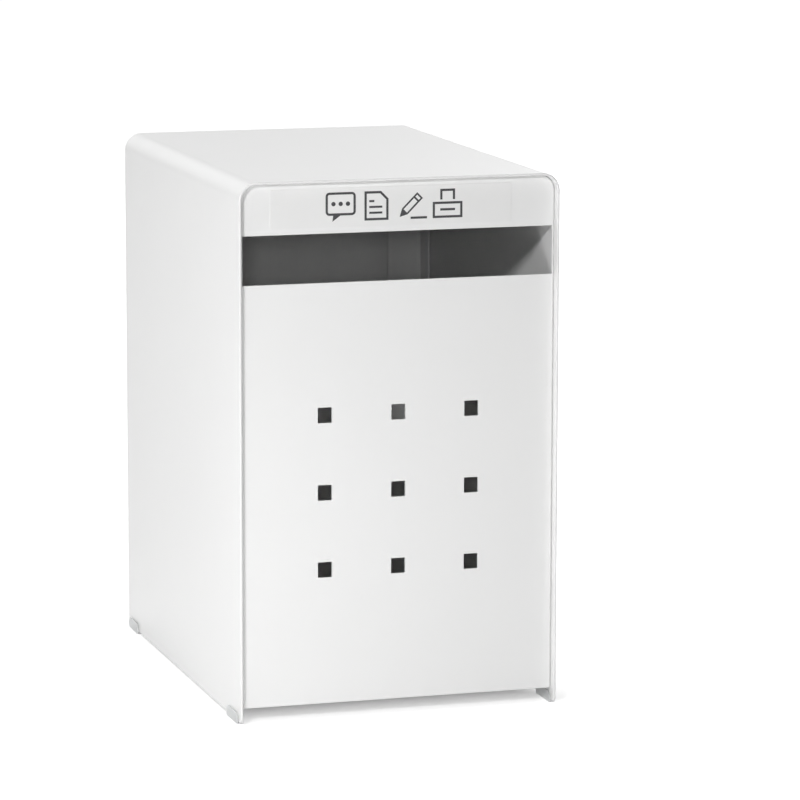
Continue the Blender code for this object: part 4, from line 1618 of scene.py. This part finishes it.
@dataclass
class Feet(SubAssembly):
    """The four clear caps on the bottom edges of the sides."""

    top_corner: float = 0.003
    top_corner_steps: int = 8
    end_radius: float = 0.0009
    floor_thickness: float = 0.0007

    def build(self) -> None:
        """Builds the four feet."""
        for end in ("front", "rear"):
            for side in ("left", "right"):
                self.build_foot(f"foot_{end}_{side}")

    def build_foot(self, node: str) -> None:
        """Moulds one foot, and cuts the groove that the side's edge fits into.

        Args:
            node: The foot's node.
        """
        room = Extent.of(node)
        foot = add_block(node.replace("foot", "cap"), room.low, room.high)
        with editing(foot):
            round_off(foot, running_along(X, (Z, room.high.z)), self.top_corner, self.top_corner_steps)
            round_off(foot, running_along(X, (Z, room.low.z)), self.end_radius, self.fold_steps)
        limits = {"limit_method": "ANGLE", "angle_limit": SHARP_ANGLE}
        finish_with(foot, "BEVEL", width=self.edge_radius, segments=self.fold_steps, **limits)
        half = Vector((self.sheet / 2 + self.play, room.size.y, 0))
        start = Vector((room.middle.x, room.middle.y, room.low.z + self.floor_thickness))
        end = Vector((room.middle.x, room.middle.y, room.high.z + self.play))
        combine(foot, add_bar("groove_tool", start, end, half))
        soften(foot, self.edge_radius / 4, steps=2)
        self.workshop.dress(foot, RUBBER, Body.CABINET, node)


@dataclass(frozen=True)
class Lamp:
    """A soft lamp: bearing and height in degrees, distance, sides, power in watts, and its gloss."""

    name: str
    azimuth: float
    elevation: float
    distance: float
    width: float
    height: float
    power: float
    mirrored: bool = True


@dataclass
class Studio:
    """The pale floor, the white surroundings, the lamps and the camera."""

    lamps: tuple[Lamp, ...] = (
        Lamp("key_lamp", -36.0, 24.0, 1.3, 0.13, 0.13, 6.0, False),
        Lamp("low_lamp", -30.7, -14.2, 0.384, 0.25, 0.03, 0.22, False),
        Lamp("side_lamp", -85.0, -8.0, 0.8, 0.5, 0.05, 0.62, False),
        Lamp("front_lamp", -17.06, 9.63, 2.3, 0.14, 0.14, 3.45, False),
        Lamp("top_lamp", -80.0, 66.0, 1.5, 0.7, 0.7, 7.4),
        Lamp("rear_lamp", 142.0, 37.0, 1.8, 1.0, 1.0, 11.0),
        Lamp("back_lamp", -168.0, 18.0, 1.8, 0.8, 0.8, 2.3),
    )
    floor_size: float = 16.0
    floor_colour: Colour = (0.9, 0.9, 0.9)
    floor_roughness: float = 0.9
    # Painted light on the floor: a glow that is faint in a zone round the box, set by the half sizes and ramp
    # below, and full white farther out.
    painted_glow_near_box: float = 0.1
    shade_width: float = 0.083
    shade_depth: float = 0.098
    painted_glow_start: float = -0.035
    painted_glow_end: float = 0.015
    ambient: float = 0.05
    target: Vector = field(default_factory=lambda: Vector((0.02972, 0.0, 0.11379)))
    distance: float = 1.82203
    azimuth: float = math.radians(-17.06)
    elevation: float = math.radians(9.63)
    roll: float = math.radians(0.13)
    lens: float = 190.8225
    sensor: float = 36.0
    clip_start: float = 0.05
    clip_end: float = 60.0

    def build(self) -> None:
        """Builds the floor, the surroundings, the lamps and the camera."""
        self.build_floor()
        self.build_world()
        for lamp in self.lamps:
            self.hang(lamp)
        self.build_camera()

    def build_floor(self) -> None:
        """Lays the floor. It glows with painted light, seen by the eye and in reflections: faint next to the
        box and full white farther out. This paints the floor round the box darker, most at its sides, and
        hides shadows that fall farther out.
        """
        deselect_all()
        bpy.ops.mesh.primitive_plane_add(size=self.floor_size, location=(0, 0, 0))
        floor = placed("studio_floor")
        material, board = new_material("pale_floor")
        place = board.add("ShaderNodeTexCoord").outputs["Object"]
        parts = board.add("ShaderNodeSeparateXYZ", {"Vector": place}).outputs
        side = board.calculate("SUBTRACT", board.calculate("ABSOLUTE", parts["X"]), self.shade_width)
        end = board.calculate("SUBTRACT", board.calculate("ABSOLUTE", parts["Y"]), self.shade_depth)
        values = {
            "Value": board.calculate("MAXIMUM", side, end),
            "From Min": self.painted_glow_start,
            "From Max": self.painted_glow_end,
            "To Min": self.painted_glow_near_box,
            "To Max": 1.0,
        }
        # Painted glow: faint next to the box, so the floor there is painted darker, rising to full white away
        # from it.
        rise = board.add("ShaderNodeMapRange", values).outputs["Result"]
        values = {
            "Base Color": (*self.floor_colour, 1.0),
            "Roughness": self.floor_roughness,
            "Specular IOR Level": 0.0,
            "Emission Color": WHITE,
            "Emission Strength": board.calculate("MULTIPLY", board.where_seen(), rise),
        }
        shader = board.add("ShaderNodeBsdfPrincipled", values)
        board.add("ShaderNodeOutputMaterial", {"Surface": shader.outputs["BSDF"]})
        floor.data.materials.append(material)

    def build_world(self) -> None:
        """Makes the surroundings: white where they are seen, and a plain soft light otherwise."""
        world = bpy.data.worlds.new("white_studio")
        bpy.context.scene.world = world
        world.use_nodes = True
        board = NodeBoard(world.node_tree)
        lift = board.calculate("MULTIPLY", board.where_seen(), 1.0 - self.ambient)
        strength = board.calculate("ADD", lift, self.ambient)
        light = board.add("ShaderNodeBackground", {"Color": WHITE, "Strength": strength})
        board.add("ShaderNodeOutputWorld", {"Surface": light.outputs["Background"]})

    def aim(self, thing: Piece, azimuth: float, elevation: float, distance: float, roll: float = 0.0) -> None:
        """Adds a lamp or camera to the scene, turned to look at the box.

        Args:
            thing: The lamp or camera.
            azimuth: Its bearing in radians.
            elevation: Its height in radians.
            distance: How far it is from what it looks at.
            roll: Its turn about its line of sight, in radians.
        """
        level = math.cos(elevation)
        back = Vector((math.sin(azimuth) * level, -math.cos(azimuth) * level, math.sin(elevation)))
        bpy.context.scene.collection.objects.link(thing)
        thing.location = self.target + back * distance
        turn = (-back).to_track_quat("-Z", "Y").to_matrix().to_4x4()
        thing.rotation_euler = (turn @ Matrix.Rotation(roll, 4, "Z")).to_euler()

    def hang(self, lamp: Lamp) -> None:
        """Hangs a soft lamp that looks at the box.

        Args:
            lamp: The lamp.
        """
        light = bpy.data.lights.new(lamp.name, "AREA")
        light.shape = "RECTANGLE"
        light.size = lamp.width
        light.size_y = lamp.height
        light.energy = lamp.power
        thing = bpy.data.objects.new(lamp.name, light)
        thing.visible_glossy = lamp.mirrored
        self.aim(thing, math.radians(lamp.azimuth), math.radians(lamp.elevation), lamp.distance)

    def build_camera(self) -> None:
        """Sets the camera at the photograph's viewing angle."""
        camera = bpy.data.cameras.new("front_camera")
        camera.lens = self.lens
        camera.sensor_width = self.sensor
        camera.clip_start = self.clip_start
        camera.clip_end = self.clip_end
        thing = bpy.data.objects.new("front_camera", camera)
        self.aim(thing, self.azimuth, self.elevation, self.distance, self.roll)
        bpy.context.scene.camera = thing


def corners(box: tuple[Vector, Vector]) -> list[list[float]]:
    """Turns a box's two corners into plain lists."""
    return [list(corner) for corner in box]


def main() -> None:
    """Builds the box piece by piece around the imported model."""
    logging.basicConfig(level=logging.INFO, format="%(name)s: %(message)s")
    for thing in list(bpy.data.objects):
        bpy.data.objects.remove(thing, do_unlink=True)
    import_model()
    bpy.context.scene.view_settings.view_transform = "Standard"
    workshop = Workshop(SurfaceEffects())
    for sub_assembly in (Cabinet, Label, RearDoor, Hinge, CamLock, Feet):
        sub_assembly(workshop).build()
    Studio().build()
    deselect_all()


if __name__ == "__main__":
    main()
